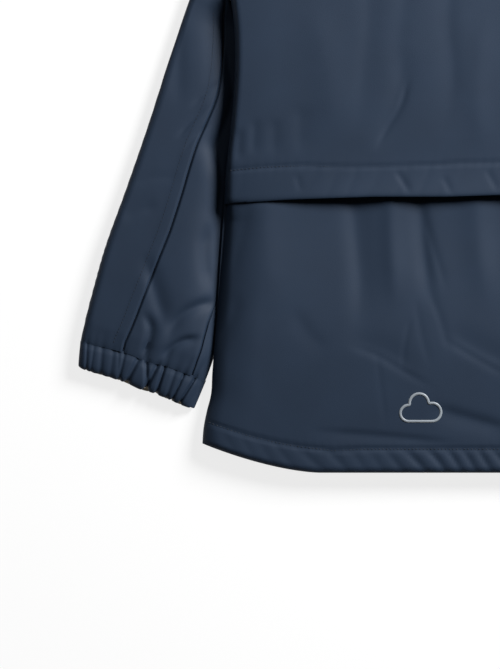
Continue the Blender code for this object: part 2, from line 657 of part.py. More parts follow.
def make_sleeve(word, side, cloth):
    seam_h = ARMHOLE_ROWS[1]
    over = [seam_h, 391.5, 385.0, 378.5, 374.0, UNDERARM.h]
    near = armhole_turns(over, [374.0, 380.0, 389.0, seam_h], False)
    sleeve_panel(f"sleeve_{word}_under", side, main_seam, under_seam, near, cloth)
    over = [530.0, 528.8, 518.0, 506.0, 494.0, 482.0, 454.0, 426.0, seam_h]
    far = armhole_turns(over, [seam_h, 426.0, 454.0, 482.0, 506.0, 518.0, 528.8], True)
    sleeve_panel(f"sleeve_{word}_top", side, under_seam, main_seam, far, cloth)


def make_cuff(name, side, cloth):
    over = np.arange(CUFF_GATHERS_OVER) / CUFF_GATHERS_OVER
    turn = np.concatenate([over, 1.0 + np.arange(CUFF_GATHERS_UNDER) / CUFF_GATHERS_UNDER])
    under = turn > 1.0
    wave = np.where(np.arange(len(turn)) % 2, 1.0, -1.0)
    share = spread(turn)
    start = (SLEEVE_OUTER[0], SLEEVE_INNER[-1])
    outer = []
    inner = []
    for down in np.linspace(0.0, 1.0, CUFF_RINGS):
        outer_end = [start[0][k] + (CUFF_END[0][k] - start[0][k]) * down for k in (0, 1)]
        inner_end = [start[1][k] + (CUFF_END[1][k] - start[1][k]) * down for k in (0, 1)]
        bow = (SEAM_BOW + (CUFF_BOW - SEAM_BOW) * down) * 4.0 * share * (1.0 - share) - SEAM
        bow = bow + GATHER * wave * down
        x = outer_end[0] + (inner_end[0] - outer_end[0]) * share - LEAN_X * bow
        h = outer_end[1] + (inner_end[1] - outer_end[1]) * share + LEAN_H * bow
        ease = np.ones(x.shape)
        gathers = GATHER * wave * (1.0 - 0.4 * down)
        for grid, depth in ((outer, 0.0), (inner, WALL)):
            top = placed(*sleeve_layer(x, h, depth, False, ease, side, gathers), side)
            floor = placed(*sleeve_layer(x, h, depth, True, ease, side, gathers), side)
            grid.append(np.where(under[:, None], floor, top))
    return wall(name, np.array(outer), np.array(inner), cloth, ring=True)


def make_hood(name, side, cloth):
    centre = curve(HOOD_CENTRE)
    brim = curve(HOOD_BRIM)
    outer = []
    inner = []
    for share in HOOD_ROWS:
        fold_x, fold_h = point_at(HOOD_LINE, share)
        mid_x, mid_h = point_at(centre, share)
        brim_x, brim_h = point_at(brim, share ** 0.6)
        top_run = math.hypot(fold_x - mid_x, fold_h - mid_h)
        low_run = math.hypot(fold_x - brim_x, fold_h - brim_h)
        fine = ACROSS_STEPS[::-1]
        over = [k / 5 * (1.0 - fine[0] / top_run) for k in range(5)] + [1.0 - step / top_run for step in fine]
        below = [step / low_run for step in HOOD_STEPS]
        below = below + [(HOOD_STEPS[-1] + (low_run - HOOD_STEPS[-1]) * 0.42) / low_run, 1.0]
        if share == 0.0:
            neck_run = NECK_POINT.x - FRONT_NECK_COLUMNS[-1]
            below = [step / neck_run for step in HOOD_STEPS + [2.0 * HOOD_STEPS[-1], neck_run]]
        over = np.array(over)
        below = np.array(below)
        bow = max(0.0, 1.0 - share / 0.2) ** 2
        over_x = mid_x + (fold_x - mid_x) * over
        over_h = mid_h + (fold_h - mid_h) * over
        knots = np.linspace(0.0, 1.0, NECK_COLUMNS + 1)
        neck_h = np.interp(over, knots, back_top(knots * NECK_POINT.x))
        over_h = over_h + bow * (neck_h - BACK_NECK - (NECK_POINT.h - BACK_NECK) * over)
        below_x = fold_x + (brim_x - fold_x) * below
        below_h = fold_h + (brim_h - fold_h) * below
        neck_x = NECK_POINT.x + (HOOD_BRIM[0].x - NECK_POINT.x) * below
        chord_h = NECK_POINT.h + (HOOD_BRIM[0].h - NECK_POINT.h) * below
        below_h = below_h + bow * (front_neck(neck_x) - chord_h)
        x = np.concatenate([over_x, below_x])
        h = np.concatenate([over_h, below_h]) + (1.5 * SEAM if share == 0.0 else 0.0)
        under = np.arange(len(x)) >= len(over)
        above_neck = h - front_top(np.minimum(x, NECK_POINT.x))
        near_neck = closure_height(side, x) * (1.0 - eased(0.0, 40.0, above_neck))
        for grid, depth in ((outer, 0.0), (inner, WALL)):
            px, ph, z = body_layer(x, h, depth, False, HOOD_FOLDS, side)
            fx, fh, fz = body_layer(x, h, depth, True)
            top = placed(np.maximum(px, SEAM / 2), ph, z, side)
            floor = placed(np.maximum(fx, SEAM / 2), fh, fz + near_neck, side)
            grid.append(np.where(under[:, None], floor, top))
    return wall(name, np.array(outer), np.array(inner), cloth)


def make_stud(name, height, metal):
    """A press stud cap on the floor side of the overlap."""
    bpy.ops.mesh.primitive_cylinder_add(vertices=20, radius=STUD_RADIUS * MM, depth=STUD_HEIGHT * MM)
    stud = bpy.context.object
    stud.name = name
    stud.location = (0.0, (height + HEM_LINE) * MM, STUD_HEIGHT / 2 * MM)
    stud.data.name = name
    stud.data.shade_smooth()
    stud.data.set_sharp_from_angle(angle=math.radians(40.0))
    stud.data.materials.append(metal)
    return stud


def make_parka():
    for old in list(bpy.data.objects):
        bpy.data.objects.remove(old, do_unlink=True)
    cloth = finish("coated cloth", (0.034, 0.044, 0.068), 0.5)
    metal = finish("stud metal", (0.06, 0.065, 0.075), 0.35, 1.0)
    make_back_upper(cloth)
    make_back_lower(cloth)
    for word, side in (("left", LEFT), ("right", RIGHT)):
        make_front(f"front_{word}", side, cloth)
        make_sleeve(word, side, cloth)
        make_cuff(f"cuff_{word}", side, cloth)
        make_hood(f"hood_{word}", side, cloth)
    for number, height in enumerate(STUD_HEIGHTS, 1):
        make_stud(f"press_stud_{number}", height, metal)


make_parka()
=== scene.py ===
# %% [markdown]
# # A child's parka of coated cloth, laid flat on its front
#
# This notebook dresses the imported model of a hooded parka. The model already holds every piece at its real
# size: two back panels with a vent flap between them, two fronts, two panels to a sleeve, gathered cuffs, a
# hood in two halves and a row of press studs. Here each cloth piece is made again as a fine sheet, with its
# creases, seams, stitches and finish, and it takes the place of the plain one.

# %% Load the frame
import math
from collections import namedtuple

import bpy
import numpy as np
from mathutils import Matrix, Vector


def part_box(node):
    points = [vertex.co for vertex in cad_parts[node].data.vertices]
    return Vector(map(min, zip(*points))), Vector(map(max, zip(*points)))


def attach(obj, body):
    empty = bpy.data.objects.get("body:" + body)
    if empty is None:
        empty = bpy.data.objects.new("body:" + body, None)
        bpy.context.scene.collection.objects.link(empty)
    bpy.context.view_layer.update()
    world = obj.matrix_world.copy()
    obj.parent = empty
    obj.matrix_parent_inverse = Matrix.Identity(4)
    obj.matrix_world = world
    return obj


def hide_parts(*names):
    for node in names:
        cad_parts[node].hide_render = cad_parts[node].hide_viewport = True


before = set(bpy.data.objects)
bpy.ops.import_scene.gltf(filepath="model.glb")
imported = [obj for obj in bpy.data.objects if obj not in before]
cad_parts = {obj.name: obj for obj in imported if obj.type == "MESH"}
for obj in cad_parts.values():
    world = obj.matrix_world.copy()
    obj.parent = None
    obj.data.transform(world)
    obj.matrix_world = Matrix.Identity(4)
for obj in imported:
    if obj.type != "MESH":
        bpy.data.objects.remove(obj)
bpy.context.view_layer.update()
bpy.ops.object.select_all(action="DESELECT")
print("nodes in the frame:", len(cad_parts))

# %% [markdown]
# ## Camera
#
# The photograph looks straight down from far away, so lines that stand up don't lean. A camera could be
# orthographic for that. A long lens high above does the same and still works when the view is turned, so
# that is used. The picture shows the lower left part of the back and one sleeve, and its right side stands
# at the middle of the back.

# %% Camera over the lower left of the back
MM = 0.001
PHOTO_HIGH = 0.5218
VIEW_MIDDLE = Vector((-0.195, -0.3108, 0.0))
CAMERA_ABOVE = 2.4
SENSOR = 36.0
camera_data = bpy.data.cameras.new("camera")
camera_data.sensor_width = SENSOR
camera_data.lens = SENSOR * CAMERA_ABOVE / PHOTO_HIGH
camera = bpy.data.objects.new("camera", camera_data)
camera.location = VIEW_MIDDLE + Vector((0.0, 0.0, CAMERA_ABOVE))
bpy.context.scene.collection.objects.link(camera)
bpy.context.scene.camera = camera
print("lens in mm:", round(camera_data.lens))

# %% [markdown]
# ## Floor and light
#
# The garment lies on a white table that is lit through, as in a studio, so the shadows on it stay pale. One
# broad light low at the upper right models the folds: what faces it is bright, and the cloth beyond a fold
# falls into shade. A faint one at the upper left keeps that shade from going black. A bright sky would fill
# it and turn the coated cloth grey, because the cloth mirrors what is above it. So the sky is weak, and it
# only looks bright where the camera sees it past the edge of the table.

# %% White floor
FLOOR_SIZE = 6.0
FLOOR_GAP = 0.0003
FLOOR_WHITE = 0.2
FLOOR_GLOW = 0.8
FLOOR_ROUGHNESS = 0.9
bpy.ops.mesh.primitive_plane_add(size=FLOOR_SIZE, location=(0.0, 0.0, -FLOOR_GAP))
floor = bpy.context.object
floor.name = "floor"
white = bpy.data.materials.new("lit white table")
white.use_nodes = True
table_top = white.node_tree.nodes["Principled BSDF"].inputs
table_top["Base Color"].default_value = (FLOOR_WHITE, FLOOR_WHITE, FLOOR_WHITE, 1.0)
table_top["Roughness"].default_value = FLOOR_ROUGHNESS
table_top["Emission Color"].default_value = (1.0, 1.0, 1.0, 1.0)
table_top["Emission Strength"].default_value = FLOOR_GLOW
floor.data.materials.append(white)
print("floor in metres:", FLOOR_SIZE)

# %% Weak sky
SKY = 0.035
SKY_SEEN = 0.8
world = bpy.data.worlds.new("sky")
world.use_nodes = True
sky_nodes = world.node_tree.nodes
sky_links = world.node_tree.links
sky_strength = sky_nodes.new("ShaderNodeMix")
sky_strength.inputs["A"].default_value = SKY
sky_strength.inputs["B"].default_value = SKY_SEEN
seen = sky_nodes.new("ShaderNodeLightPath")
sky_links.new(seen.outputs["Is Camera Ray"], sky_strength.inputs["Factor"])
sky_links.new(sky_strength.outputs["Result"], sky_nodes["Background"].inputs["Strength"])
sky_nodes["Background"].inputs["Color"].default_value = (1.0, 1.0, 1.0, 1.0)
bpy.context.scene.world = world
bpy.context.scene.view_settings.view_transform = "Standard"
print("sky strength:", SKY)

# %% Soft lights
Lamp = namedtuple("Lamp", "name place size watts")
LAMPS = [
    Lamp("key light", (1.065, 0.824, 1.06), 0.85, 78.0),
    Lamp("fill light", (-1.15, 0.95, 1.4), 1.1, 3.5),
]
for lamp in LAMPS:
    light = bpy.data.lights.new(lamp.name, "AREA")
    light.shape = "DISK"
    light.size = lamp.size
    light.energy = lamp.watts
    holder = bpy.data.objects.new(lamp.name, light)
    holder.location = lamp.place
    holder.rotation_euler = (VIEW_MIDDLE - Vector(lamp.place)).to_track_quat("-Z", "Y").to_euler()
    bpy.context.scene.collection.objects.link(holder)
    print(lamp.name, lamp.watts, "watts")

# %% [markdown]
# ## The cut of the garment
#
# The outline is kept as a few edges: the side of the body, the armhole, the inner and outer edge of a
# sleeve, and the hood with its centre seam and brim. Each is a short table in millimetres, x out from the
# middle of the back and h up from the hem, read as a smooth curve. They are the model's own edges, but for
# the inner edge of a sleeve, which runs up to 8 mm nearer the body here than in the model. A drawn curve
# object would do too, but a table can also be asked how far a point is from it, and that distance is what
# rounds the cloth down at its folds. A row of a table is a pair: x and h of a point, or a place and the
# value there.

# %% Sizes and edges of the cut
BACK_LENGTH = 559.0
HOOD_HEIGHT = 277.0
HEM_LINE = -(BACK_LENGTH + HOOD_HEIGHT) / 2
WALL = 3.0
FLAP_WALL = 2.0
SEAM = 0.3
ON_EDGE = 0.4
FOLD_LEVEL = 8.5
STUD_HEIGHT = 2.0
OVERLAP = 24.0
LEFT = -1.0
RIGHT = 1.0
SIDES = {"left": LEFT, "right": RIGHT}

Point = namedtuple("Point", "x h")
Edge = namedtuple("Edge", "line level rounding wedge slope rise")
Crease = namedtuple("Crease", "points depth width skew")
SleeveRow = namedtuple("SleeveRow", "outer_h inner_h ease")

SHOULDER_POINT = Point(183.0, 530.0)
NECK_POINT = Point(75.0, 559.0)
UNDERARM = Point(210.5, 372.0)
BACK_NECK = 546.0
FRONT_NECK = 490.0
SIDE_EDGE = [
    (232.0, 22.6), (231.3, 33.0), (228.5, 48.0), (225.4, 60.0), (224.4, 76.0), (221.0, 119.0),
    (218.4, 158.0), (215.6, 201.0), (214.0, 230.0), (209.9, 270.0), (207.0, 312.0), (207.4, 345.0),
    UNDERARM,
]
ARMHOLE = [UNDERARM, (190.0, 392.0), (175.5, 424.0), (170.0, 460.0), (173.0, 497.0), SHOULDER_POINT]
SLEEVE_INNER = [
    UNDERARM, (209.8, 369.6), (208.0, 364.0), (205.0, 353.0), (202.0, 337.0), (199.5, 318.0),
    (198.5, 298.0), (200.5, 280.0), (206.0, 262.0), (211.0, 246.0), (213.0, 230.0), (213.8, 212.0),
    (215.3, 190.0), (218.0, 150.0), (220.2, 115.0), (223.0, 90.0), (229.8, 70.0),
]
SLEEVE_OUTER = [
    (326.8, 101.1), (322.8, 120.0), (316.3, 145.0), (309.3, 170.0), (291.5, 220.0), (274.2, 270.0),
    (258.2, 320.0), (245.7, 357.0), (205.5, 469.0), SHOULDER_POINT,
]
CUFF_END = [(328.6, 82.0), (238.6, 49.0)]
HOOD = [
    NECK_POINT, (97.0, 579.0), (121.0, 612.0), (134.0, 658.0), (137.0, 710.0), (131.0, 757.0),
    (111.0, 799.0), (78.0, 825.0), (40.0, 834.5), (0.15, 836.0),
]
HOOD_CENTRE = [(0.15, BACK_NECK), (0.15, 640.0), (0.15, 730.0), (0.15, 795.0)]
BRIM_END = Point(26.0, 504.1)
HOOD_BRIM = [
    BRIM_END, (36.0, 540.0), (47.0, 600.0), (55.0, 660.0), (55.0, 710.0), (44.0, 750.0), (25.0, 772.0),
    (0.15, 779.0),
]
FLAP_REACH = 214.0
FLAP_CORNER = 208.3
FLAP_EDGE = [(0.0, 215.0), (44.0, 213.6), (100.0, 213.6), (163.0, 211.5), (FLAP_REACH, FLAP_CORNER)]
HEM_CURVE_START = 140.0
HEM_CURVE_WIDTH = 91.0
HEM_CURVE_RISE = 22.6
HEM_REACH = HEM_CURVE_START + HEM_CURVE_WIDTH
FRONT_HEM_BACK = 1.5


# %% Curves and distances
def eased(low, high, value):
    share = np.clip((value - low) / (high - low), 0.0, 1.0)
    return share * share * (3.0 - 2.0 * share)


def rounded(share):
    """Quarter circle: 0 at the fold, 1 where the rounding ends."""
    return np.sqrt(1.0 - (1.0 - np.clip(share, 0.0, 1.0)) ** 2)


def at(table, value):
    return np.interp(value, [row[0] for row in table], [row[1] for row in table])


def marks_along(line):
    """Distance walked along a polyline at each of its points."""
    return np.concatenate([[0.0], np.cumsum(np.hypot(*np.diff(line, axis=0).T))])


CURVE_STEP = 4.0


def curve(points, step=CURVE_STEP):
    """A polyline with a point every few millimetres of a smooth curve through the given points."""
    knots = np.array([tuple(point) for point in points], float)
    marks = marks_along(knots)
    lengths = np.diff(marks)
    slopes = np.gradient(knots, marks, axis=0)
    along = np.linspace(0.0, marks[-1], max(2, int(marks[-1] / step) + 1))
    part = np.clip(np.searchsorted(marks, along, side="right") - 1, 0, len(lengths) - 1)
    span = lengths[part][:, None]
    share = (along - marks[part])[:, None] / span
    left = 1.0 - share
    start = knots[part] * (1.0 + 2.0 * share) * left ** 2 + slopes[part] * span * share * left ** 2
    end = knots[part + 1] * share ** 2 * (3.0 - 2.0 * share) - slopes[part + 1] * span * share ** 2 * left
    return start + end


def point_at(line, share):
    """Plan points at shares of a polyline's length."""
    marks = marks_along(line)
    marks = marks / marks[-1]
    return np.interp(share, marks, line[:, 0]), np.interp(share, marks, line[:, 1])


def x_at(line, h):
    """Where a line that climbs or falls steadily stands at each height."""
    order = np.argsort(line[:, 1])
    return np.interp(h, line[order, 1], line[order, 0])


SIDE_LINE = curve(SIDE_EDGE)
ARMHOLE_LINE = curve(ARMHOLE)
INNER_LINE = curve(SLEEVE_INNER + [CUFF_END[1]])
OUTER_LINE = curve([CUFF_END[0]] + SLEEVE_OUTER)
TOP_LINE = np.concatenate([[SHOULDER_POINT], curve(HOOD)])
HOOD_LINE = curve(HOOD)
FAR = 45.0


def from_stretch(start, end, x, h):
    """Offsets of plan points from a straight stretch, and the share of it where each one is nearest."""
    run_x, run_h = end - start
    off_x = x - start[0]
    off_h = h - start[1]
    share = np.clip((off_x * run_x + off_h * run_h) / (run_x ** 2 + run_h ** 2), 0.0, 1.0)
    return off_x - share * run_x, off_h - share * run_h, share


def nearest(line, x, h):
    """Distance from each plan point to an edge, up to FAR, and the direction that leads inward from it."""
    best = np.full(x.shape, FAR)
    away_x = np.zeros(x.shape)
    away_h = np.zeros(x.shape)
    for start, end in zip(line, line[1:]):
        low = np.minimum(start, end) - FAR
        high = np.maximum(start, end) + FAR
        near = np.nonzero((x > low[0]) & (x < high[0]) & (h > low[1]) & (h < high[1]))
        off_x, off_h, _ = from_stretch(start, end, x[near], h[near])
        distance = np.hypot(off_x, off_h)
        along_x, along_h = (end - start) / math.hypot(*(end - start))
        on_edge = distance < ON_EDGE
        scale = np.where(on_edge, 1.0, distance)
        closer = distance < best[near]
        best[near] = np.where(closer, distance, best[near])
        away_x[near] = np.where(closer, np.where(on_edge, -along_h, off_x / scale), away_x[near])
        away_h[near] = np.where(closer, np.where(on_edge, along_x, off_h / scale), away_h[near])
    return best, away_x, away_h


print("sleeve outer edge in mm:", round(float(marks_along(OUTER_LINE)[-1])))

# %% [markdown]
# ## How high the cloth lies
#
# A padded garment that lies flat is thick in the middle and rounds down at its folds. The height of the
# crown changes along the back, and the sleeves tuck in under the sides of the body where they meet it.
# Beside the body a sleeve is hollow: it rises to its crown only some way in from its edge. These heights
# were fitted to the shadows in the photograph, and most of a sleeve lies a few millimetres lower than in the
# model.

# %% Heights of the body
CROWN = [
    (0.0, 17.2), (30.0, 18.6), (75.0, 20.5), (130.0, 22.0), (205.0, 22.5), (260.0, 25.0), (310.0, 26.0),
    (480.0, 26.0), (570.0, 21.0), (640.0, 20.0), (840.0, 20.0),
]
CROWN_SHIFTS = (-24.0, -12.0, 0.0, 12.0, 24.0)
SIDE_LEVEL = [(0.0, FOLD_LEVEL), (190.0, FOLD_LEVEL), (208.3, 9.5), (251.3, 14.0), (900.0, 14.0)]
SIDE_ROUNDING = [(0.0, 14.0), (60.0, 12.0), (195.0, 8.0), (240.0, 5.0), (900.0, 4.0)]
SIDE_WEDGE = [
    (0.0, 12.0), (208.3, 13.0), (251.3, 16.0), (300.0, 12.0), (318.0, 8.0), (340.0, 5.0), (372.0, 4.0),
    (900.0, 4.0),
]
SIDE_SLOPE = [(0.0, 0.0), (208.3, 0.0), (251.3, 1.0), (900.0, 1.0)]
RIM_RISE = 0.4
FLAP_LIFT = 2.6
FLAP_LIFT_REACH = 36.0
FLAP_LIFT_FULL = 120.0
FLAP_LIFT_END = 205.0
FLAP_COVER = 130.0
FLAP_DROP = 3.0
FLAP_COVER_FULL = 1.5
CLOSURE_FLAT = 26.0
CLOSURE_END_LEFT = 40.0
CLOSURE_END_RIGHT = 44.0
SIDE_FALL = [
    (0.0, 1.0), (60.0, 5.5), (110.0, 8.5), (195.0, 8.5), (212.0, 2.5), (240.0, 1.0), (900.0, 1.0),
]
SIDE_FALL_WIDTH = 34.0
SIDE_FALL_BEND = 2.1
WEDGE_BEND = 1.3
print("crown in mm:", max(z for _, z in CROWN))

# %% Heights of the sleeves
SLEEVE_CROWNS = [
    (-22.0, 12.0), (-8.0, 13.0), (2.0, 13.6), (16.0, 14.6), (60.0, 15.0), (110.0, 14.6), (225.0, 13.2),
    (900.0, 13.2),
]
SLEEVE_LEAN = math.radians(17.28)
LEAN_X = math.sin(SLEEVE_LEAN)
LEAN_H = math.cos(SLEEVE_LEAN)
CUFF_SEAM_MIDDLE = Point(280.0, 87.0)
SLEEVE_ROUNDING = 6.5
TOP_ROUNDING = 16.0
FLOOR_ROUNDING = 12.0
ARMHOLE_ROUNDING = 9.0
TIP_LEVEL = 3.3
TIP_TOP = 6.4
TIP_ROUNDING = 4.0
UNDERARM_RISE = 6.0
UNDERARM_START = 346.0
UNDERARM_FULL = 368.0
DETAIL_START = 1.0
DETAIL_FULL = 9.0
Hollow = namedtuple("Hollow", "h start end")
HOLLOWS = [
    Hollow(0.0, 2.0, 18.0), Hollow(90.0, 2.0, 28.0), Hollow(120.0, 2.0, 36.0), Hollow(181.0, 5.0, 42.0),
    Hollow(205.0, 5.0, 40.0), Hollow(222.0, 4.0, 32.0), Hollow(231.0, 4.5, 28.0), Hollow(243.0, 8.0, 32.0),
    Hollow(255.0, 13.4, 38.0), Hollow(263.0, 12.0, 42.0), Hollow(275.0, 11.0, 44.0),
    Hollow(294.0, 10.0, 48.0), Hollow(302.0, 11.0, 50.0), Hollow(310.0, 12.0, 52.0),
    Hollow(324.0, 13.0, 55.0), Hollow(337.0, 13.0, 56.0), Hollow(356.0, 12.0, 54.0),
    Hollow(900.0, 11.0, 52.0),
]
HOLLOW_SHIFTS = (-4.0, -2.0, 0.0, 2.0, 4.0)
HOLLOW_BEND = 3.6
print("sleeve crown in mm:", max(z for _, z in SLEEVE_CROWNS))

# %% [markdown]
# ## Creases
#
# Coated cloth creases softly, and one flank of a crease is steeper than the other. Sculpting would give that,
# and so would a cloth simulation, but neither can be placed exactly. So each crease is a row of a table: the
# points that it runs through, how deep it presses (a ridge is negative), how wide it is, and how lopsided.
# Rows with x below zero are on the wearer's left, which the photograph shows. The other side gets its own.

# %% Tables of creases
BODY_CREASES = [
    Crease([(-72, 308), (-78, 286), (-93, 260), (-99, 247)], 0.9, 2.2, 0.2),
    Crease([(-73, 332), (-82, 288), (-100, 246)], 0.8, 9.0, 0.2),
    Crease([(-83, 440), (-76, 372), (-80, 322), (-73, 286)], 0.5, 8.0, 0.0),
    Crease([(-110, 420), (-103, 350), (-108, 300), (-113, 256)], 0.6, 9.0, 0.2),
    Crease([(-35, 420), (-42, 350), (-39, 300), (-47, 256)], 0.7, 8.0, -0.2),
    Crease([(-12, 360), (-20, 296), (-15, 240)], -0.6, 10.0, 0.0),
    Crease([(-156, 288), (-156, 243)], 0.5, 7.0, 0.2),
    Crease([(-176, 276), (-177, 243)], 0.5, 5.0, 0.0),
    Crease([(-191, 276), (-193, 243)], 0.6, 4.0, 0.2),
    Crease([(-203, 268), (-205, 240)], 0.8, 4.0, 0.0),
    Crease([(-150, 372), (-134, 300), (-130, 250)], -0.8, 15.0, 0.0),
    Crease([(-130, 430), (-60, 404)], 1.2, 12.0, 0.3),
    Crease([(-60, 510), (10, 476)], 1.2, 12.0, 0.3),
    Crease([(-84, 235), (-78, 226), (-71, 214)], 0.7, 2.0, 0.5),
    Crease([(-47, 230), (-39, 214)], 0.5, 2.0, 0.4),
    Crease([(-14, 236), (-3, 216)], 0.5, 2.2, 0.4),
    Crease([(-160, 232), (-156, 216)], 0.4, 2.0, 0.4),
]
LOWER_CREASES = [
    Crease([(-197, 226), (-200, 189), (-204, 173), (-208, 159), (-213, 138)], 0.35, 4.5, 0.1),
    Crease([(-203, 142), (-207, 125), (-214, 109), (-220, 88)], 0.6, 5.0, 0.1),
    Crease([(-182, 240), (-182, 180), (-180, 120)], -0.9, 13.0, 0.0),
    Crease([(-117, 250), (-113, 190), (-109, 145), (-112, 100)], 1.9, 10.0, 0.2),
    Crease([(-86, 250), (-86, 190), (-82, 120)], -1.4, 8.0, 0.1),
    Crease([(-64, 250), (-62, 190), (-54, 120)], 1.7, 6.5, -0.2),
    Crease([(-62, 206), (-50, 164), (-42, 136)], 0.4, 2.6, 0.2),
    Crease([(-20, 250), (-18, 180), (-10, 120)], -1.3, 11.0, 0.0),
    Crease([(-164, 130), (-150, 108), (-132, 92)], 0.45, 7.0, -0.2),
    Crease([(-124, 101), (-94, 90), (-76, 79), (-48, 64)], 0.5, 2.3, -0.3),
    Crease([(-126, 106), (-94, 96), (-62, 78)], 0.7, 8.0, 0.3),
    Crease([(-50, 107), (-20, 89), (0, 78), (12, 73)], 0.5, 2.3, -0.3),
    Crease([(-46, 112), (-10, 92), (14, 82)], 0.8, 8.0, 0.3),
    Crease([(-70, 124), (-76, 96), (-77, 76)], 0.35, 2.0, 0.2),
    Crease([(-98, 102), (-94, 66), (-89, 30)], 0.22, 2.0, 0.0),
    Crease([(-58, 146), (-48, 118), (-40, 90)], 0.4, 2.8, 0.2),
    Crease([(-68, 140), (-62, 104), (-54, 78)], 0.3, 2.8, 0.2),
    Crease([(-60, 52), (-28, 43), (14, 31)], 1.3, 6.5, -0.35),
    Crease([(-154, 33), (-94, 29), (-26, 22)], 0.8, 4.0, -0.45),
    Crease([(30, 250), (36, 180), (32, 110)], 1.7, 8.0, 0.3),
    Crease([(74, 250), (70, 180), (66, 120)], -1.5, 9.0, 0.2),
    Crease([(118, 250), (124, 180), (130, 110)], 1.7, 8.0, -0.3),
    Crease([(166, 240), (160, 180), (156, 120)], -1.1, 11.0, 0.0),
    Crease([(40, 118), (82, 96), (104, 78)], 0.9, 2.4, 0.4),
    Crease([(132, 96), (170, 70)], 0.9, 3.0, 0.3),
    Crease([(198, 200), (206, 160), (214, 120)], 1.2, 5.0, -0.3),
    Crease([(30, 30), (90, 27), (150, 32)], 0.7, 4.0, 0.2),
]
UPPER_RIGHT_CREASES = [
    Crease([(84, 316), (98, 284), (116, 248)], 1.0, 3.0, 0.4),
    Crease([(40, 362), (46, 296)], 1.0, 8.0, 0.3),
    Crease([(150, 340), (128, 282)], 0.9, 7.0, -0.3),
    Crease([(60, 440), (140, 406)], 1.2, 12.0, 0.3),
    Crease([(176, 280), (178, 240)], 0.8, 6.0, 0.2),
    Crease([(52, 235), (66, 215)], 0.7, 2.4, 0.5),
    Crease([(140, 233), (150, 213)], 0.6, 2.4, 0.5),
]
SLEEVE_CREASES = [
    Crease([(-248, 356), (-250, 320), (-252, 280)], 0.7, 7.0, 0.0),
    Crease([(-253, 257), (-240, 273), (-224, 287)], 0.7, 2.2, 0.3),
    Crease([(-242, 282), (-228, 296), (-215, 305)], 0.6, 2.0, 0.3),
    Crease([(-248, 247), (-236, 262), (-223, 273)], 0.5, 1.9, 0.3),
    Crease([(-292, 222), (-268, 229), (-246, 227)], 0.25, 4.0, 0.2),
    Crease([(-296, 196), (-280, 204), (-264, 208)], 0.5, 6.0, 0.2),
    Crease([(-212, 134), (-234, 130), (-247, 123), (-256, 112), (-260, 98)], 2.3, 4.2, 0.1),
    Crease([(-231, 105), (-248, 102), (-258, 95), (-264, 84)], 2.3, 2.8, 0.2),
    Crease([(-278, 126), (-273, 114), (-275, 99), (-281, 84)], 2.6, 3.2, 0.35),
    Crease([(-277, 172), (-270, 146), (-259, 108)], 1.8, 6.0, 0.2),
    Crease([(-226, 196), (-230, 176), (-229, 156), (-225, 138)], 1.7, 5.0, 0.0),
    Crease([(-232, 430), (-206, 410)], 1.4, 12.0, 0.2),
    Crease([(228, 140), (252, 124)], 1.7, 5.0, 0.4),
    Crease([(262, 150), (280, 128)], 1.3, 6.0, 0.3),
    Crease([(242, 206), (262, 182)], 1.2, 8.0, 0.3),
    Crease([(236, 318), (248, 290)], 1.2, 8.0, 0.3),
    Crease([(296, 128), (284, 108), (282, 92)], 1.5, 3.6, 0.3),
    Crease([(246, 112), (262, 100), (268, 88)], 1.6, 3.4, 0.3),
    Crease([(204, 440), (228, 404)], 1.4, 12.0, 0.2),
]
HOOD_CREASES = [
    Crease([(-96, 700), (-66, 668), (-40, 640)], 1.8, 10.0, 0.3),
    Crease([(-60, 600), (-14, 572)], 2.0, 9.0, 0.3),
    Crease([(30, 690), (92, 650)], 1.8, 10.0, 0.3),
    Crease([(22, 606), (80, 590)], 1.8, 9.0, 0.3),
    Crease([(-70, 780), (-30, 760)], 1.4, 10.0, 0.0),
]


# %% Reading the creases
CREASE_STEP = 3.0
CREASE_REACH = 3.2
CREASE_FADE_IN = 0.32
CREASE_FADE_OUT = 0.66
CREASE_FLANK = 1.8


def crease_depth(crease, line, x, h):
    """Depth of one crease at plan points near it; it fades out towards both of its ends."""
    marks = marks_along(line)
    best = np.full(x.shape, np.inf)
    offset = np.zeros(x.shape)
    along = np.zeros(x.shape)
    for mark, start, end in zip(marks, line, line[1:]):
        off_x, off_h, share = from_stretch(start, end, x, h)
        run_x, run_h = end - start
        distance = np.hypot(off_x, off_h)
        closer = distance < best
        best = np.where(closer, distance, best)
        offset = np.where(closer, np.sign(off_h * run_x - off_x * run_h) * distance, offset)
        along = np.where(closer, (mark + share * math.hypot(run_x, run_h)) / marks[-1], along)
    width = crease.width * (1.0 + crease.skew * np.sign(offset))
    taper = eased(0.0, CREASE_FADE_IN, along) * (1.0 - eased(CREASE_FADE_OUT, 1.0, along))
    return crease.depth * taper * np.exp(-((best / width) ** CREASE_FLANK))


def creased(table, x, h):
    """How far the creases press the cloth down at each signed plan point."""
    total = np.zeros(x.shape)
    for crease in table:
        line = curve(crease.points, CREASE_STEP)
        low = line.min(axis=0) - CREASE_REACH * crease.width
        high = line.max(axis=0) + CREASE_REACH * crease.width
        near = (x > low[0]) & (x < high[0]) & (h > low[1]) & (h < high[1])
        if near.any():
            total[near] += crease_depth(crease, line, x[near], h[near])
    return total


creases = [BODY_CREASES, LOWER_CREASES, UPPER_RIGHT_CREASES, SLEEVE_CREASES, HOOD_CREASES]
print("creases:", sum(len(table) for table in creases))

# %% [markdown]
# ## The two faces of a panel
#
# A point of a panel is found from its place in the plan. Its height falls from the crown towards the nearest
# edges along a quarter circle, and the creases press into it. The inner face is the same point moved in by
# the wall, straight down in the middle and sideways at a fold, so the cloth keeps its thickness round it.

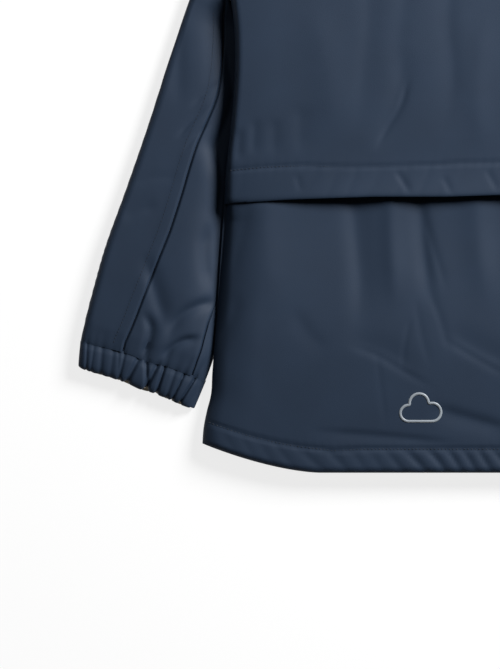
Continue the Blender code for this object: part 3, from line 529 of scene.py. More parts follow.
# %% Body and sleeve layers
def body_edges(h):
    """The folds that a body or hood panel rounds down to."""
    slope = at(SIDE_SLOPE, h)
    rounding = at(SIDE_ROUNDING, h)
    side = Edge(SIDE_LINE, at(SIDE_LEVEL, h), rounding, at(SIDE_WEDGE, h), slope, RIM_RISE * slope)
    sleeve = Edge(OUTER_LINE, FOLD_LEVEL, SLEEVE_ROUNDING, FLOOR_ROUNDING, 0.0, 0.0)
    top = Edge(TOP_LINE, FOLD_LEVEL, TOP_ROUNDING, FLOOR_ROUNDING, 0.0, 0.0)
    return [side, sleeve, top]


def side_fall(distance, h):
    """How much lower the back lies towards its side."""
    return at(SIDE_FALL, h) * np.clip(1.0 - distance / SIDE_FALL_WIDTH, 0.0, 1.0) ** SIDE_FALL_BEND


def body_layer(x, h, depth, under, detail=0.0):
    """Points of the back (or, under, of the front) at a depth below its outer face."""
    crown = sum(at(CROWN, h + shift) for shift in CROWN_SHIFTS) / len(CROWN_SHIFTS)
    height = np.zeros(x.shape)
    into_x = np.zeros(x.shape)
    into_h = np.zeros(x.shape)
    flat = np.ones(x.shape)
    rise = np.zeros(x.shape)
    edges = body_edges(h)
    for edge in edges:
        distance, away_x, away_h = nearest(edge.line, x, h)
        reach = FLOOR_ROUNDING if under else edge.rounding
        curl = rounded(distance / reach)
        if under:
            share = np.clip(1.0 - distance / edge.wedge, 0.0, 1.0)
            bowl = 1.0 - rounded(distance / edge.wedge)
            wedge = (1.0 - edge.slope) * bowl + edge.slope * share ** WEDGE_BEND
            height = np.maximum(height, edge.level * wedge)
        else:
            fall = side_fall(distance, h) if edge is edges[0] else 0.0
            height = np.maximum(height, fall + (crown - fall - edge.level) * (1.0 - curl))
        pull = depth * np.clip(1.0 - distance / reach, 0.0, 1.0)
        into_x = into_x + away_x * pull
        into_h = into_h + away_h * pull
        flat = np.minimum(flat, curl)
        rise = rise + edge.rise * (1.0 - curl)
    apart = SEAM / 2 * (1.0 - flat)
    if under:
        z = height + depth * flat + depth * rise - apart + detail * flat
    else:
        z = crown - height - depth * flat + depth * rise - detail * flat ** 2 + apart
    return x + into_x, h + into_h, z


def along_sleeve(x, h):
    """How far a plan point lies above the cuff seam, along the sleeve."""
    return (h - CUFF_SEAM_MIDDLE.h) * LEAN_H - (x - CUFF_SEAM_MIDDLE.x) * LEAN_X


def hollow_at(h):
    """How far in from its inner edge a sleeve starts to rise, and where it is full."""
    levels, starts, ends = zip(*HOLLOWS)
    start = sum(np.interp(h + shift, levels, starts) for shift in HOLLOW_SHIFTS)
    end = sum(np.interp(h + shift, levels, ends) for shift in HOLLOW_SHIFTS)
    return start / len(HOLLOW_SHIFTS), end / len(HOLLOW_SHIFTS)


def sleeve_layer(x, h, depth, under, ease, detail):
    """Points of a sleeve or cuff at a depth below its outer face; ease 0 follows the body, at the armhole."""
    found = [nearest(line, x, h) for line in (OUTER_LINE, INNER_LINE, TOP_LINE)]
    inner = found[1][0]
    sewn = FLOOR_ROUNDING if under else ARMHOLE_ROUNDING
    inner_reach = sewn + ease * (TIP_ROUNDING - sewn)
    reaches = [SLEEVE_ROUNDING, inner_reach, TOP_ROUNDING]
    if under:
        reaches = [FLOOR_ROUNDING, inner_reach, FLOOR_ROUNDING]
    curls = [rounded(edge[0] / reach) for edge, reach in zip(found, reaches)]
    flat = np.minimum(np.minimum(curls[0], curls[1]), curls[2])
    if under:
        own = np.maximum(FOLD_LEVEL * (1.0 - curls[0]), TIP_LEVEL * (1.0 - curls[1]))
    else:
        crown = at(SLEEVE_CROWNS, along_sleeve(x, h))
        low = TIP_TOP + UNDERARM_RISE * eased(UNDERARM_START, UNDERARM_FULL, h)
        tip = TIP_LEVEL + (low - TIP_LEVEL) * curls[1]
        start, end = hollow_at(h)
        away = 1.0 - np.clip((inner - start) / (end - start), 0.0, 1.0)
        rise = (crown - low) * (1.0 - away ** HOLLOW_BEND)
        own = crown - np.maximum((crown - FOLD_LEVEL) * (1.0 - curls[0]), crown - tip - rise)
        own = own - detail * curls[0] ** 2 * eased(DETAIL_START, DETAIL_FULL, inner)
    body = body_layer(x, h, 0.0, under)[2]
    z = body + (own - body) * ease
    moved_x, moved_h = x, h
    for (distance, away_x, away_h), reach in zip(found, reaches):
        pull = depth * np.clip(1.0 - distance / reach, 0.0, 1.0)
        moved_x = moved_x + pull * away_x
        moved_h = moved_h + pull * away_h
    rise = RIM_RISE * (1.0 - ease) * (1.0 - curls[1])
    if under:
        z = z + depth * flat + depth * rise
    else:
        z = z - depth * flat + depth * rise
    return moved_x, moved_h, z


# %% [markdown]
# ## Finishes
#
# The shell is cloth with a thin smooth coat of plastic. It has a satin gloss, a very fine grain, and broad
# patches where its colour is a little lighter or darker. A group of nodes makes the grain and the patches
# once, with the scale and strength as inputs, and each finish uses it with its own values. It reads the
# cloth's own coordinates, which are metres along and across the panel, so the grain follows the cloth round a
# fold.

# %% Shared node group for grain and patches
def add_node(tree, kind, place, **values):
    node = tree.nodes.new(kind)
    node.location = place
    for name, value in values.items():
        if name in node.inputs:
            node.inputs[name].default_value = value
    return node


def make_grain_group():
    group = bpy.data.node_groups.new("cloth grain", "ShaderNodeTree")
    sockets = group.interface
    sockets.new_socket("Vector", in_out="INPUT", socket_type="NodeSocketVector")
    for name, value in (("Grain Scale", 900.0), ("Patch Scale", 30.0), ("Patch Tone", 0.1)):
        socket = sockets.new_socket(name, in_out="INPUT", socket_type="NodeSocketFloat")
        socket.default_value = value
    sockets.new_socket("Height", in_out="OUTPUT", socket_type="NodeSocketFloat")
    sockets.new_socket("Tone", in_out="OUTPUT", socket_type="NodeSocketFloat")
    enter = add_node(group, "NodeGroupInput", (-600, 0))
    leave = add_node(group, "NodeGroupOutput", (500, 0))
    grain = add_node(group, "ShaderNodeTexNoise", (-300, 200), Detail=3.0, Roughness=0.6)
    patch = add_node(group, "ShaderNodeTexNoise", (-300, -150), Detail=2.0, Roughness=0.5)
    tone = add_node(group, "ShaderNodeMapRange", (100, -150))
    tone.inputs["From Min"].default_value = 0.3
    tone.inputs["From Max"].default_value = 0.7
    low = add_node(group, "ShaderNodeMath", (-100, -350))
    low.operation = "SUBTRACT"
    low.inputs[0].default_value = 1.0
    high = add_node(group, "ShaderNodeMath", (-100, -500))
    high.operation = "ADD"
    high.inputs[0].default_value = 1.0
    join = group.links.new
    join(enter.outputs["Vector"], grain.inputs["Vector"])
    join(enter.outputs["Vector"], patch.inputs["Vector"])
    join(enter.outputs["Grain Scale"], grain.inputs["Scale"])
    join(enter.outputs["Patch Scale"], patch.inputs["Scale"])
    join(enter.outputs["Patch Tone"], low.inputs[1])
    join(enter.outputs["Patch Tone"], high.inputs[1])
    join(patch.outputs["Fac"], tone.inputs["Value"])
    join(low.outputs["Value"], tone.inputs["To Min"])
    join(high.outputs["Value"], tone.inputs["To Max"])
    join(grain.outputs["Fac"], leave.inputs["Height"])
    join(tone.outputs["Result"], leave.inputs["Tone"])
    return group


GRAIN = make_grain_group()


def make_finish(name, colour, roughness, grain_scale, patch_scale, patch_tone, bump, bump_mm, uv=True):
    """A finish with grain and patches from the shared group; constants stay on the shader's own sockets."""
    material = bpy.data.materials.new(name)
    material.use_nodes = True
    tree = material.node_tree
    shader = tree.nodes["Principled BSDF"]
    shader.inputs["Roughness"].default_value = roughness
    where = add_node(tree, "ShaderNodeTexCoord", (-900, 0))
    grain = add_node(tree, "ShaderNodeGroup", (-650, 0))
    grain.node_tree = GRAIN
    grain.inputs["Grain Scale"].default_value = grain_scale
    grain.inputs["Patch Scale"].default_value = patch_scale
    grain.inputs["Patch Tone"].default_value = patch_tone
    tint = add_node(tree, "ShaderNodeMix", (-350, 150))
    tint.data_type = "RGBA"
    tint.blend_type = "MULTIPLY"
    tint.inputs["Factor"].default_value = 1.0
    tint.inputs["A"].default_value = (*colour, 1.0)
    relief = add_node(tree, "ShaderNodeBump", (-350, -200), Strength=bump, Distance=bump_mm * MM)
    join = tree.links.new
    join(where.outputs["UV" if uv else "Object"], grain.inputs["Vector"])
    join(grain.outputs["Tone"], tint.inputs["B"])
    join(tint.outputs["Result"], shader.inputs["Base Color"])
    join(grain.outputs["Height"], relief.inputs["Height"])
    join(relief.outputs["Normal"], shader.inputs["Normal"])
    return material


# %% Cloth, lining, thread, print and metal
NAVY = (0.0150, 0.0272, 0.0505)
SHELL = make_finish("coated shell", NAVY, 0.62, 1300.0, 26.0, 0.05, 0.5, 0.16)
SHELL.node_tree.nodes["Principled BSDF"].inputs["IOR"].default_value = 1.29
LINING = make_finish("pile lining", (0.62, 0.57, 0.48), 0.95, 330.0, 60.0, 0.12, 1.0, 3.0)
LINING.node_tree.nodes["Principled BSDF"].inputs["Sheen Weight"].default_value = 0.4
THREAD = make_finish("sewing thread", (0.008, 0.013, 0.023), 0.6, 2400.0, 90.0, 0.1, 0.4, 0.1, uv=False)
PRINT = make_finish("reflective print", (0.24, 0.27, 0.3), 0.42, 2600.0, 80.0, 0.06, 0.3, 0.05)
PLATING = (0.05, 0.055, 0.065)
STUD_METAL = make_finish("dark plated metal", PLATING, 0.3, 3000.0, 200.0, 0.05, 0.1, 0.05, uv=False)
STUD_METAL.node_tree.nodes["Principled BSDF"].inputs["Metallic"].default_value = 1.0
print("finishes:", SHELL.name, LINING.name, THREAD.name, PRINT.name, STUD_METAL.name)

# %% [markdown]
# ## From a grid to a sheet
#
# Each panel is worked out as two grids of points, its outer and its inner face, that are joined at the rims
# into one closed wall. Blender's Solidify could thicken a single grid, but at a tight fold it would push the
# inner face through itself, and the two grids don't. The grid also gives the coordinates for the finish.

# %% Walls from grids
def placed(x, h, z, side=1.0):
    """World coordinates in metres."""
    return np.stack([side * x, h + HEM_LINE, z], axis=-1) * MM


def run_lengths(grid, axis):
    """Distance walked along one direction of a grid, from its first row or column."""
    steps = np.linalg.norm(np.diff(grid, axis=axis), axis=-1)
    total = np.cumsum(steps, axis=axis)
    start = np.zeros_like(np.take(total, [0], axis=axis))
    return np.concatenate([start, total], axis=axis)


def grid_faces(rows, columns, start, ring, flip):
    """Quads of one grid, whose first point has the number start; a ring closes on itself."""
    used = np.arange(columns if ring else columns - 1)
    first = start + np.arange(rows - 1)[:, None] * columns
    here = first + used[None, :]
    beside = first + ((used + 1) % columns)[None, :]
    faces = np.stack([here, beside, beside + columns, here + columns], axis=-1).reshape(-1, 4)
    return faces[:, ::-1] if flip else faces


def rim_faces(rows, columns, inside, ring):
    """Quads that join the two faces of a wall along their edges."""
    used = np.arange(columns if ring else columns - 1)
    rims = []
    for row, flip in ((0, False), (rows - 1, True)):
        rims.append((row * columns + used, row * columns + (used + 1) % columns, flip))
    if not ring:
        for column, flip in ((0, True), (columns - 1, False)):
            here = np.arange(rows - 1) * columns + column
            rims.append((here, here + columns, flip))
    faces = []
    for here, beside, flip in rims:
        rim = np.stack([here, inside + here, inside + beside, beside], axis=-1)
        faces.append(rim[:, ::-1] if flip else rim)
    return np.concatenate(faces)


def linked(name, mesh):
    """An object in the scene for a finished mesh."""
    piece = bpy.data.objects.new(name, mesh)
    bpy.context.scene.collection.objects.link(piece)
    return piece


# %% Closed sheets
LINING_SLOT = 1
LINING_SHIFT = 0.003
SHARP_ANGLE = math.radians(55.0)
OUTER_AREA = {}


def cloth_map(outer):
    """Coordinates of the cloth in metres along and across a panel, the lining's a little to the side."""
    along_columns = run_lengths(outer, 1)
    along_rows = run_lengths(outer, 0)
    cloth = np.stack([along_columns - along_columns.mean(), along_rows], axis=-1).reshape(-1, 2)
    return np.concatenate([cloth, cloth + [[LINING_SHIFT, 0.0]]])


def grid_area(grid):
    """Area of a grid of points, in square metres."""
    cross = np.cross(grid[1:, 1:] - grid[:-1, :-1], grid[1:, :-1] - grid[:-1, 1:])
    return float(np.linalg.norm(cross, axis=-1).sum() / 2)


def sheet_from_grids(name, outer, inner, node, lining=True, ring=False):
    """A closed wall between two grids; the inner face gets the pile where the lining shows."""
    rows, columns, _ = outer.shape
    inside = rows * columns
    points = np.concatenate([outer.reshape(-1, 3), inner.reshape(-1, 3)])
    outer_faces = grid_faces(rows, columns, 0, ring, False)
    inner_faces = grid_faces(rows, columns, inside, ring, True)
    faces = np.concatenate([outer_faces, inner_faces, rim_faces(rows, columns, inside, ring)])
    corners = points[faces]
    across = np.cross(corners[:, 2] - corners[:, 0], corners[:, 3] - corners[:, 1])
    if (across * corners.mean(axis=1)).sum() < 0.0:
        faces = faces[:, ::-1]
    mesh = bpy.data.meshes.new(name)
    mesh.from_pydata(points.tolist(), [], faces.tolist())
    mesh.uv_layers.new(name="cloth").data.foreach_set("uv", cloth_map(outer)[faces.ravel()].ravel())
    mesh.materials.append(SHELL)
    mesh.materials.append(LINING)
    slots = np.zeros(len(faces), int)
    if lining:
        slots[len(outer_faces):2 * len(outer_faces)] = LINING_SLOT
    mesh.polygons.foreach_set("material_index", slots)
    mesh.shade_smooth()
    mesh.set_sharp_from_angle(angle=SHARP_ANGLE)
    piece = linked(name, mesh)
    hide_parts(node)
    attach(piece, "root")
    OUTER_AREA[name] = grid_area(outer)
    print(name, len(faces), "faces,", round(OUTER_AREA[name], 4), "square metres")
    return piece


def filled(marks, step):
    """The marks, with more between them so that none are further apart than the step."""
    out = [marks[0]]
    for start, end in zip(marks, marks[1:]):
        count = max(1, math.ceil(abs(end - start) / step))
        out += [start + (end - start) * k / count for k in range(1, count + 1)]
    return np.array(out)


# %% [markdown]
# ## Back panels
#
# The upper back ends in a flap that hangs free over the lower back, as on a vented raincoat. Both panels are
# grids of rows from edge to edge. The hem and the flap are turned up and sewn, so the cloth is drawn in along
# the stitches and puckers between them and the edge. The puckers lean, because the cloth was fed askew.

# %% Outline of the back
FINE = 2.0
EDGE_STEPS = [0.0, 0.5, 1.1, 2.0, 3.2, 5.0, 7.0, 9.0]
HEM_CURVE_BEND = 1.6
BACK_NECK_BEND = 2
FRONT_NECK_BEND = 1.5


def hem_rise(x):
    """How far the hem rises towards the sides."""
    past = np.clip(np.abs(x) - HEM_CURVE_START, 0.0, None)
    return HEM_CURVE_RISE * (past / HEM_CURVE_WIDTH) ** HEM_CURVE_BEND


def back_top(x):
    """Shoulder seam and back neck."""
    pitch = (NECK_POINT.h - SHOULDER_POINT.h) / (SHOULDER_POINT.x - NECK_POINT.x)
    shoulder = SHOULDER_POINT.h + (SHOULDER_POINT.x - x) * pitch
    neck = BACK_NECK + (NECK_POINT.h - BACK_NECK) * (x / NECK_POINT.x) ** BACK_NECK_BEND
    return np.where(x > NECK_POINT.x, shoulder, neck)


def front_top(x):
    """Shoulder seam and front neckline."""
    share = np.clip(x, 0.0, None) / NECK_POINT.x
    neck = FRONT_NECK + (NECK_POINT.h - FRONT_NECK) * share ** FRONT_NECK_BEND
    return np.where(x > NECK_POINT.x, back_top(x), neck)


def armhole_x(level):
    return x_at(ARMHOLE_LINE, level)


def body_reach(level):
    """Half width of a body panel where its side edge or armhole stands at this height."""
    return np.where(level > UNDERARM.h, armhole_x(level) - SEAM / 2, x_at(SIDE_LINE, level))


def across_body(reach, step):
    """Signed distances from the centre line, fine near the edges, in equal number for every row."""
    strip = EDGE_STEPS[-1]
    middle = filled([0.0, HEM_REACH - strip], step)[:-1] * (reach - strip) / (HEM_REACH - strip)
    half = np.concatenate([middle, reach - np.array(EDGE_STEPS[::-1])])
    return np.concatenate([-half[:0:-1], half])


def upper_height(x, level, reach):
    """Height of a point of the upper back whose row stands at this level on the side edge."""
    share = (level - FLAP_CORNER) / (SHOULDER_POINT.h - FLAP_CORNER)
    across = np.abs(x) / reach
    flap = (at(FLAP_EDGE, across * FLAP_REACH) - FLAP_CORNER) * (1.0 - share)
    return level + flap + (back_top(across * SHOULDER_POINT.x) - SHOULDER_POINT.h) * share


def upper_plan(levels, step):
    x = np.array([across_body(float(body_reach(level)), step) for level in levels])
    level = np.array(levels)[:, None] + 0.0 * x
    return x, upper_height(x, level, body_reach(level)), level


def mirrored_layer(x, h, depth, detail):
    side = np.where(x < 0.0, LEFT, RIGHT)
    moved_x, moved_h, z = body_layer(np.abs(x), h, depth, False, detail)
    return side * moved_x, moved_h, z


# %% Stitch lines of the back
FLAP_STITCH = [
    (0.0, 240.0), (33.0, 239.5), (58.0, 237.9), (87.0, 237.2), (121.0, 236.5), (153.0, 237.5),
    (184.0, 236.5), (214.0, 233.5),
]
HEM_STITCH = [
    (0.0, 18.4), (107.0, 18.4), (131.0, 17.3), (156.0, 20.3), (174.0, 23.4), (195.0, 28.5),
    (212.0, 33.8), (231.0, 40.4),
]
print("flap band in mm:", round(at(FLAP_STITCH, 0.0) - at(FLAP_EDGE, 0.0), 1))

# %% Puckers
Pucker = namedtuple("Pucker", "depth pitch lean seed")
FLAP_PUCKERS = Pucker(0.28, 19.0, 0.5, 1.7)
FLAP_RIPPLES = Pucker(0.16, 8.3, 0.2, 0.4)
HEM_PUCKERS = Pucker(1.5, 15.5, 0.8, 0.9)
HEM_RIPPLES = Pucker(0.22, 7.1, 0.3, 2.2)
FLAP_RIPPLE_REACH = 6.0
HEM_RIPPLE_REACH = 5.0
PUCKER_SHARPNESS = 2.2
FLAP_GROOVE = (0.6, 1.5)
HEM_GROOVE = (0.9, 1.6)
FLAP_BAND = (0.15, 0.3)
HEM_BAND = (0.2, 0.45)
FLAP_ROLL = 0.9
FLAP_ROLL_WIDTH = 1.1
HEM_ROLL = 3.4
HEM_ROLL_WIDTH = 5.0
HEM_ROLL_END = 0.98
CALM_START = 150.0
CALM_FULL = 190.0
CALM = 0.85


def groove(distance, depth, width):
    return depth * np.exp(-((distance / width) ** 2))


def puckered(pucker, x, drop):
    """Leaning waves between a stitch line and an edge, uneven in strength and spacing by slow sines."""
    seed = pucker.seed
    phase = (x + pucker.lean * drop) / pucker.pitch
    phase = phase + 0.35 * np.sin(x / 37.0 + seed) + 0.2 * np.sin(x / 13.0 + 2.0 * seed)
    strength = 0.55 + 0.3 * np.sin(x / 29.0 + 3.0 * seed) + 0.15 * np.sin(x / 11.0 + seed)
    wave = 0.5 + 0.5 * np.cos(2.0 * math.pi * phase)
    return pucker.depth * strength * wave ** PUCKER_SHARPNESS


def band_strength(stitch, edge, h, start, fade):
    """How strongly the puckers show: none at the stitches, full soon below them, weaker at the edge."""
    below = np.clip((stitch - h) / (stitch - edge), 0.0, 1.0)
    return eased(0.0, start, below) * (1.0 - fade * below)


def flap_detail(x, h):
    """How far the stitches, the puckers and the rolled edge press the flap down."""
    stitch = at(FLAP_STITCH, np.abs(x))
    edge = at(FLAP_EDGE, np.abs(x))
    pressed = groove(h - stitch, *FLAP_GROOVE)
    pressed = pressed + puckered(FLAP_PUCKERS, x, stitch - h) * band_strength(stitch, edge, h, *FLAP_BAND)
    pressed = pressed + puckered(FLAP_RIPPLES, x, stitch - h) * groove(h - stitch, 1.0, FLAP_RIPPLE_REACH)
    return pressed + FLAP_ROLL * np.clip(np.exp(-((h - edge) / FLAP_ROLL_WIDTH)), 0.0, 1.0)


def hem_detail(x, h):
    """The same for the hem, whose puckers are deep in the middle and calm towards the sides."""
    stitch = at(HEM_STITCH, np.abs(x))
    edge = hem_rise(x)
    middle = 1.0 - CALM * eased(CALM_START, CALM_FULL, np.abs(x))
    band = middle * band_strength(stitch, edge, h, *HEM_BAND)
    pressed = groove(h - stitch, *HEM_GROOVE)
    pressed = pressed + puckered(HEM_PUCKERS, x, h - stitch) * band
    pressed = pressed + puckered(HEM_RIPPLES, x, h - stitch) * groove(h - stitch, 1.0, HEM_RIPPLE_REACH)
    roll = np.clip(1.0 - (h - edge) / HEM_ROLL_WIDTH, 0.0, 1.0)
    return pressed + HEM_ROLL * (1.0 - np.sqrt(1.0 - roll ** 2 * HEM_ROLL_END))


# %% Upper back with the flap
UPPER_MARKS = [208.3, 208.9, 209.7, 211.0, 213.0, 230.0, 245.0, 372.0, 528.0, 529.4, 530.0]
JOINT_ROW = 250.3
JOINT_BLEND = 3.0


def upper_pressed(x, h):
    """How far the creases press the upper back down."""
    return creased(BODY_CREASES + UPPER_RIGHT_CREASES, x, h)


def make_back_upper():
    x, h, level = upper_plan(filled(UPPER_MARKS, FINE), FINE)
    above_edge = h - at(FLAP_EDGE, np.abs(x))
    hang = FLAP_LIFT * (1.0 - eased(FLAP_LIFT_FULL, FLAP_LIFT_END, np.abs(x)))
    hang = hang * np.clip(1.0 - above_edge / FLAP_LIFT_REACH, 0.0, 1.0) ** 2
    thicker = eased(JOINT_ROW - JOINT_BLEND, JOINT_ROW + JOINT_BLEND, level)
    wall = FLAP_WALL + (WALL - FLAP_WALL) * thicker
    plain = upper_pressed(x, h)
    outer = mirrored_layer(x, h, 0.0, plain + flap_detail(x, h))
    inner = mirrored_layer(x, h, wall, plain)
    grids = [placed(grid[0], grid[1], grid[2] + hang) for grid in (outer, inner)]
    return sheet_from_grids("back_upper_cloth", grids[0], grids[1], "back_upper", lining=False)


back_upper = make_back_upper()


# %% Lower back
LOWER_MARKS = [0.0, 0.002, 0.005, 0.01, 0.018, 0.03, 0.05, 0.2, 0.9, 0.985]
LOWER_HIGH = 200.0
COVERED_STEP = 3.0
DROP_START = 12.0
DROP_END = 34.0
COVERED_FADE = 0.6
COVERED_BELOW = 4.0
COVERED_ABOVE = 10.0


def lower_plan():
    """Plan points of the lower back: rows from the hem to the flap's edge, and then those under the flap."""
    rows_x = []
    rows_h = []
    for share in filled(LOWER_MARKS, FINE / LOWER_HIGH):
        reach = float(body_reach(HEM_CURVE_RISE + share * (FLAP_CORNER - HEM_CURVE_RISE)))
        across = across_body(reach, FINE)
        part = np.abs(across) / reach
        rows_x.append(across)
        rows_h.append(hem_rise(part * HEM_REACH) * (1.0 - share) + at(FLAP_EDGE, part * FLAP_REACH) * share)
    levels = filled([level for level in UPPER_MARKS if level < JOINT_ROW] + [JOINT_ROW], COVERED_STEP)
    flap_x, flap_h, _ = upper_plan(levels, FINE)
    flap_h[-1] -= SEAM
    return np.concatenate([rows_x, flap_x]), np.concatenate([rows_h, flap_h])


def make_back_lower():
    x, h = lower_plan()
    flap = at(FLAP_EDGE, np.abs(x))
    middle = 1.0 - eased(FLAP_LIFT_FULL, FLAP_LIFT_END, np.abs(x))
    sunk = FLAP_DROP * middle * (1.0 - eased(flap + DROP_START, flap + DROP_END, h))
    covered = (FLAP_WALL + SEAM + sunk) * eased(flap - FLAP_COVER, flap - FLAP_COVER_FULL, h)
    shown = 1.0 - COVERED_FADE * eased(flap - COVERED_BELOW, flap + COVERED_ABOVE, h)
    plain = creased(LOWER_CREASES, x, h) * shown
    outer = mirrored_layer(x, h, covered, plain + hem_detail(x, h))
    inner = mirrored_layer(x, h, covered + WALL, plain)
    return sheet_from_grids("back_lower_cloth", placed(*outer), placed(*inner), "back_lower")


back_lower = make_back_lower()

# %% [markdown]
# ## Fronts
#
# The fronts lie against the floor, the left one lapped over the right. The press studs hold their edges a
# little off the floor. Only their rims show from above, so their grids are coarser.

# %% Fronts
FRONT_MARKS = [22.6, 23.6, 25.6, 30.0, 208.3, 372.0, 526.0, 529.0, 530.0]
FRONT_SIDE = [0.0, 1.0, 3.0, 7.0, 14.0]
FRONT_SIDE_STEP = 3.0
CLOSURE_STRIP = 46.0
CLOSURE_EDGE = 2.0
SHOULDER_POINTS = 26
NECK_POINTS = 7
CLOSURE_POINTS = 17
FRONT_HEM_BEND = 6
COARSE = 4.5


def closure_height(side, x):
    """How far the centre edges stand off the floor: the left one on the studs, the right one on the left."""
    if side == LEFT:
        return (STUD_HEIGHT + SEAM) * (1.0 - eased(CLOSURE_FLAT, CLOSURE_END_LEFT, x))
    return (STUD_HEIGHT + WALL + 2 * SEAM) * (1.0 - eased(CLOSURE_FLAT, CLOSURE_END_RIGHT, x))


def across_front(reach):
    """Distances from the centre line along a row of a front: side, shoulder, neck and overlap."""
    side = reach - filled(FRONT_SIDE, FRONT_SIDE_STEP)
    shoulder = np.linspace(reach - FRONT_SIDE[-1], NECK_POINT.x / SHOULDER_POINT.x * reach, SHOULDER_POINTS)
    neck = np.linspace(shoulder[-1], CLOSURE_STRIP, NECK_POINTS)
    closure = np.linspace(CLOSURE_STRIP, CLOSURE_EDGE - OVERLAP, CLOSURE_POINTS)
    return np.concatenate([side, shoulder[1:], neck[1:], closure[1:], [-OVERLAP]])


def make_front(name, side, node):
    rows_x = []
    rows_h = []
    for level in filled(FRONT_MARKS, COARSE):
        reach = float(body_reach(level))
        across = across_front(reach)
        part = across / reach
        share = (level - HEM_CURVE_RISE) / (SHOULDER_POINT.h - HEM_CURVE_RISE)
        top_x = np.where(across > CLOSURE_STRIP, part * SHOULDER_POINT.x, across)
        hem = hem_rise(part * HEM_REACH) + FRONT_HEM_BACK * (1.0 - part ** FRONT_HEM_BEND) - HEM_CURVE_RISE
        rows_x.append(across)
        rows_h.append(level + hem * (1.0 - share) + (front_top(top_x) - SHOULDER_POINT.h) * share)
    x = np.array(rows_x)
    h = np.array(rows_h)
    lift = closure_height(side, x)
    grids = []
    for depth in (0.0, WALL):
        moved_x, moved_h, z = body_layer(x, h, depth, True)
        grids.append(placed(moved_x, moved_h, z + lift, side))
    return sheet_from_grids(name, grids[0], grids[1], node)


front_left = make_front("front_left_cloth", LEFT, "front_left")
front_right = make_front("front_right_cloth", RIGHT, "front_right")

# %% [markdown]
# ## Sleeves
#
# A sleeve is a flat tube. A turn of 0 is its outer fold, 1 its inner fold, and from 1 to 2 it comes back on
# the floor side. It is cut in two panels: the top one wraps round the outer fold, and the under one lies
# along the body. The long seam between them is lapped and top-stitched, so the cloth dips there.

# %% Sections of a sleeve
SLEEVE_ROWS = [
    SleeveRow(530.0, 372.0, 0.0), SleeveRow(500.0, 371.0, 0.1), SleeveRow(470.0, 369.6, 0.3),
    SleeveRow(440.0, 367.0, 0.55), SleeveRow(412.0, 363.0, 0.8), SleeveRow(388.0, 357.0, 0.95),
    SleeveRow(366.0, 350.0, 1.0),
] + [SleeveRow(366.0 - 264.9 * k / 12, 350.0 - 280.0 * k / 12, 1.0) for k in range(1, 13)]
MAIN_SEAM = [
    (0.0, 0.33), (94.0, 0.33), (130.0, 0.39), (186.0, 0.5), (230.0, 0.56), (296.0, 0.67), (380.0, 0.72),
    (900.0, 0.74),
]
UNDER_SEAM = [
    (0.0, 0.885), (83.0, 0.885), (100.0, 0.9), (114.0, 0.925), (131.0, 0.975), (150.0, 1.01),
    (240.0, 1.12), (900.0, 1.18),
]
SEAM_BOW = 3.0
SEAM_BOW_REACH = 60.0
DROOP = 2.6
DROOP_PLACE = 0.53
DROOP_WIDTH = 0.075
DROOP_REACH = 26.0
ROW_GAP = 24.0
EVEN_PART = 0.4
TURN_COUNT = 101


def fine_rows(step):
    """Sleeve rows, with more between them, closest at the armhole and at the cuff."""
    table = np.array(SLEEVE_ROWS)
    last = len(table) - 1
    marks = [0.0, 0.06] + list(range(1, last)) + [last - 0.1, last - 0.04, last]
    index = filled(marks, step / ROW_GAP)
    columns = [np.interp(index, np.arange(len(table)), column) for column in table.T]
    return [SleeveRow(*values) for values in zip(*columns)]


def spread(turn):
    """Share across a flat tube for a turn around it: 0 outer fold, 1 inner fold, back to 0 at 2."""
    over = np.mod(turn, 2.0)
    over = np.where(over > 1.0, 2.0 - over, over)
    return EVEN_PART * over + (1.0 - EVEN_PART) * 0.5 * (1.0 - np.cos(math.pi * over))


def turn_at(share):
    """The turn, from 0 to 2, at which a seam lies; shares above 1 are on the floor side."""
    turns = np.linspace(0.0, 1.0, TURN_COUNT)
    over = np.interp(share, spread(turns), turns)
    below = 2.0 - np.interp(2.0 - share, spread(turns), turns)
    return np.where(share > 1.0, below, over)


def arch(share):
    """A bow across the sleeve: 0 at both folds and 1 in the middle."""
    return 4.0 * share * (1.0 - share)


def droop(share):
    """The sleeve's end sags over the cuff where a fold runs out."""
    return DROOP * np.exp(-(((share - DROOP_PLACE) / DROOP_WIDTH) ** 2))


def sleeve_plan(turn, row):
    """Plan points around one sleeve section."""
    share = spread(turn)
    outer_x = x_at(OUTER_LINE, row.outer_h)
    inner_x = x_at(INNER_LINE, row.inner_h)
    x = outer_x + (inner_x - outer_x) * share
    h = row.outer_h + (row.inner_h - row.outer_h) * share
    armhole_h = SHOULDER_POINT.h + (UNDERARM.h - SHOULDER_POINT.h) * share
    chord_x = SHOULDER_POINT.x + (UNDERARM.x - SHOULDER_POINT.x) * share
    scoop = armhole_x(armhole_h) - chord_x
    along = along_sleeve(x, h)
    bow = SEAM_BOW * arch(share) * (1.0 - eased(0.0, SEAM_BOW_REACH, along))
    bow = bow - droop(share) * (1.0 - eased(0.0, DROOP_REACH, along))
    x = x + scoop * (1.0 - row.ease) ** 3 - LEAN_X * bow
    h = h + LEAN_H * bow
    if row.ease == 0.0:
        x = x + SEAM / 2
    return x, h


def main_seam(row):
    return at(MAIN_SEAM, (row.outer_h + row.inner_h) / 2)


def under_seam(row):
    return at(UNDER_SEAM, row.inner_h)


# %% [markdown]
# Elastic draws the sleeve's end in, so the cuff stands in gathers. They are valleys of uneven depth, each
# with its own place round the tube, width and lean, and they run on a little way up the sleeve.

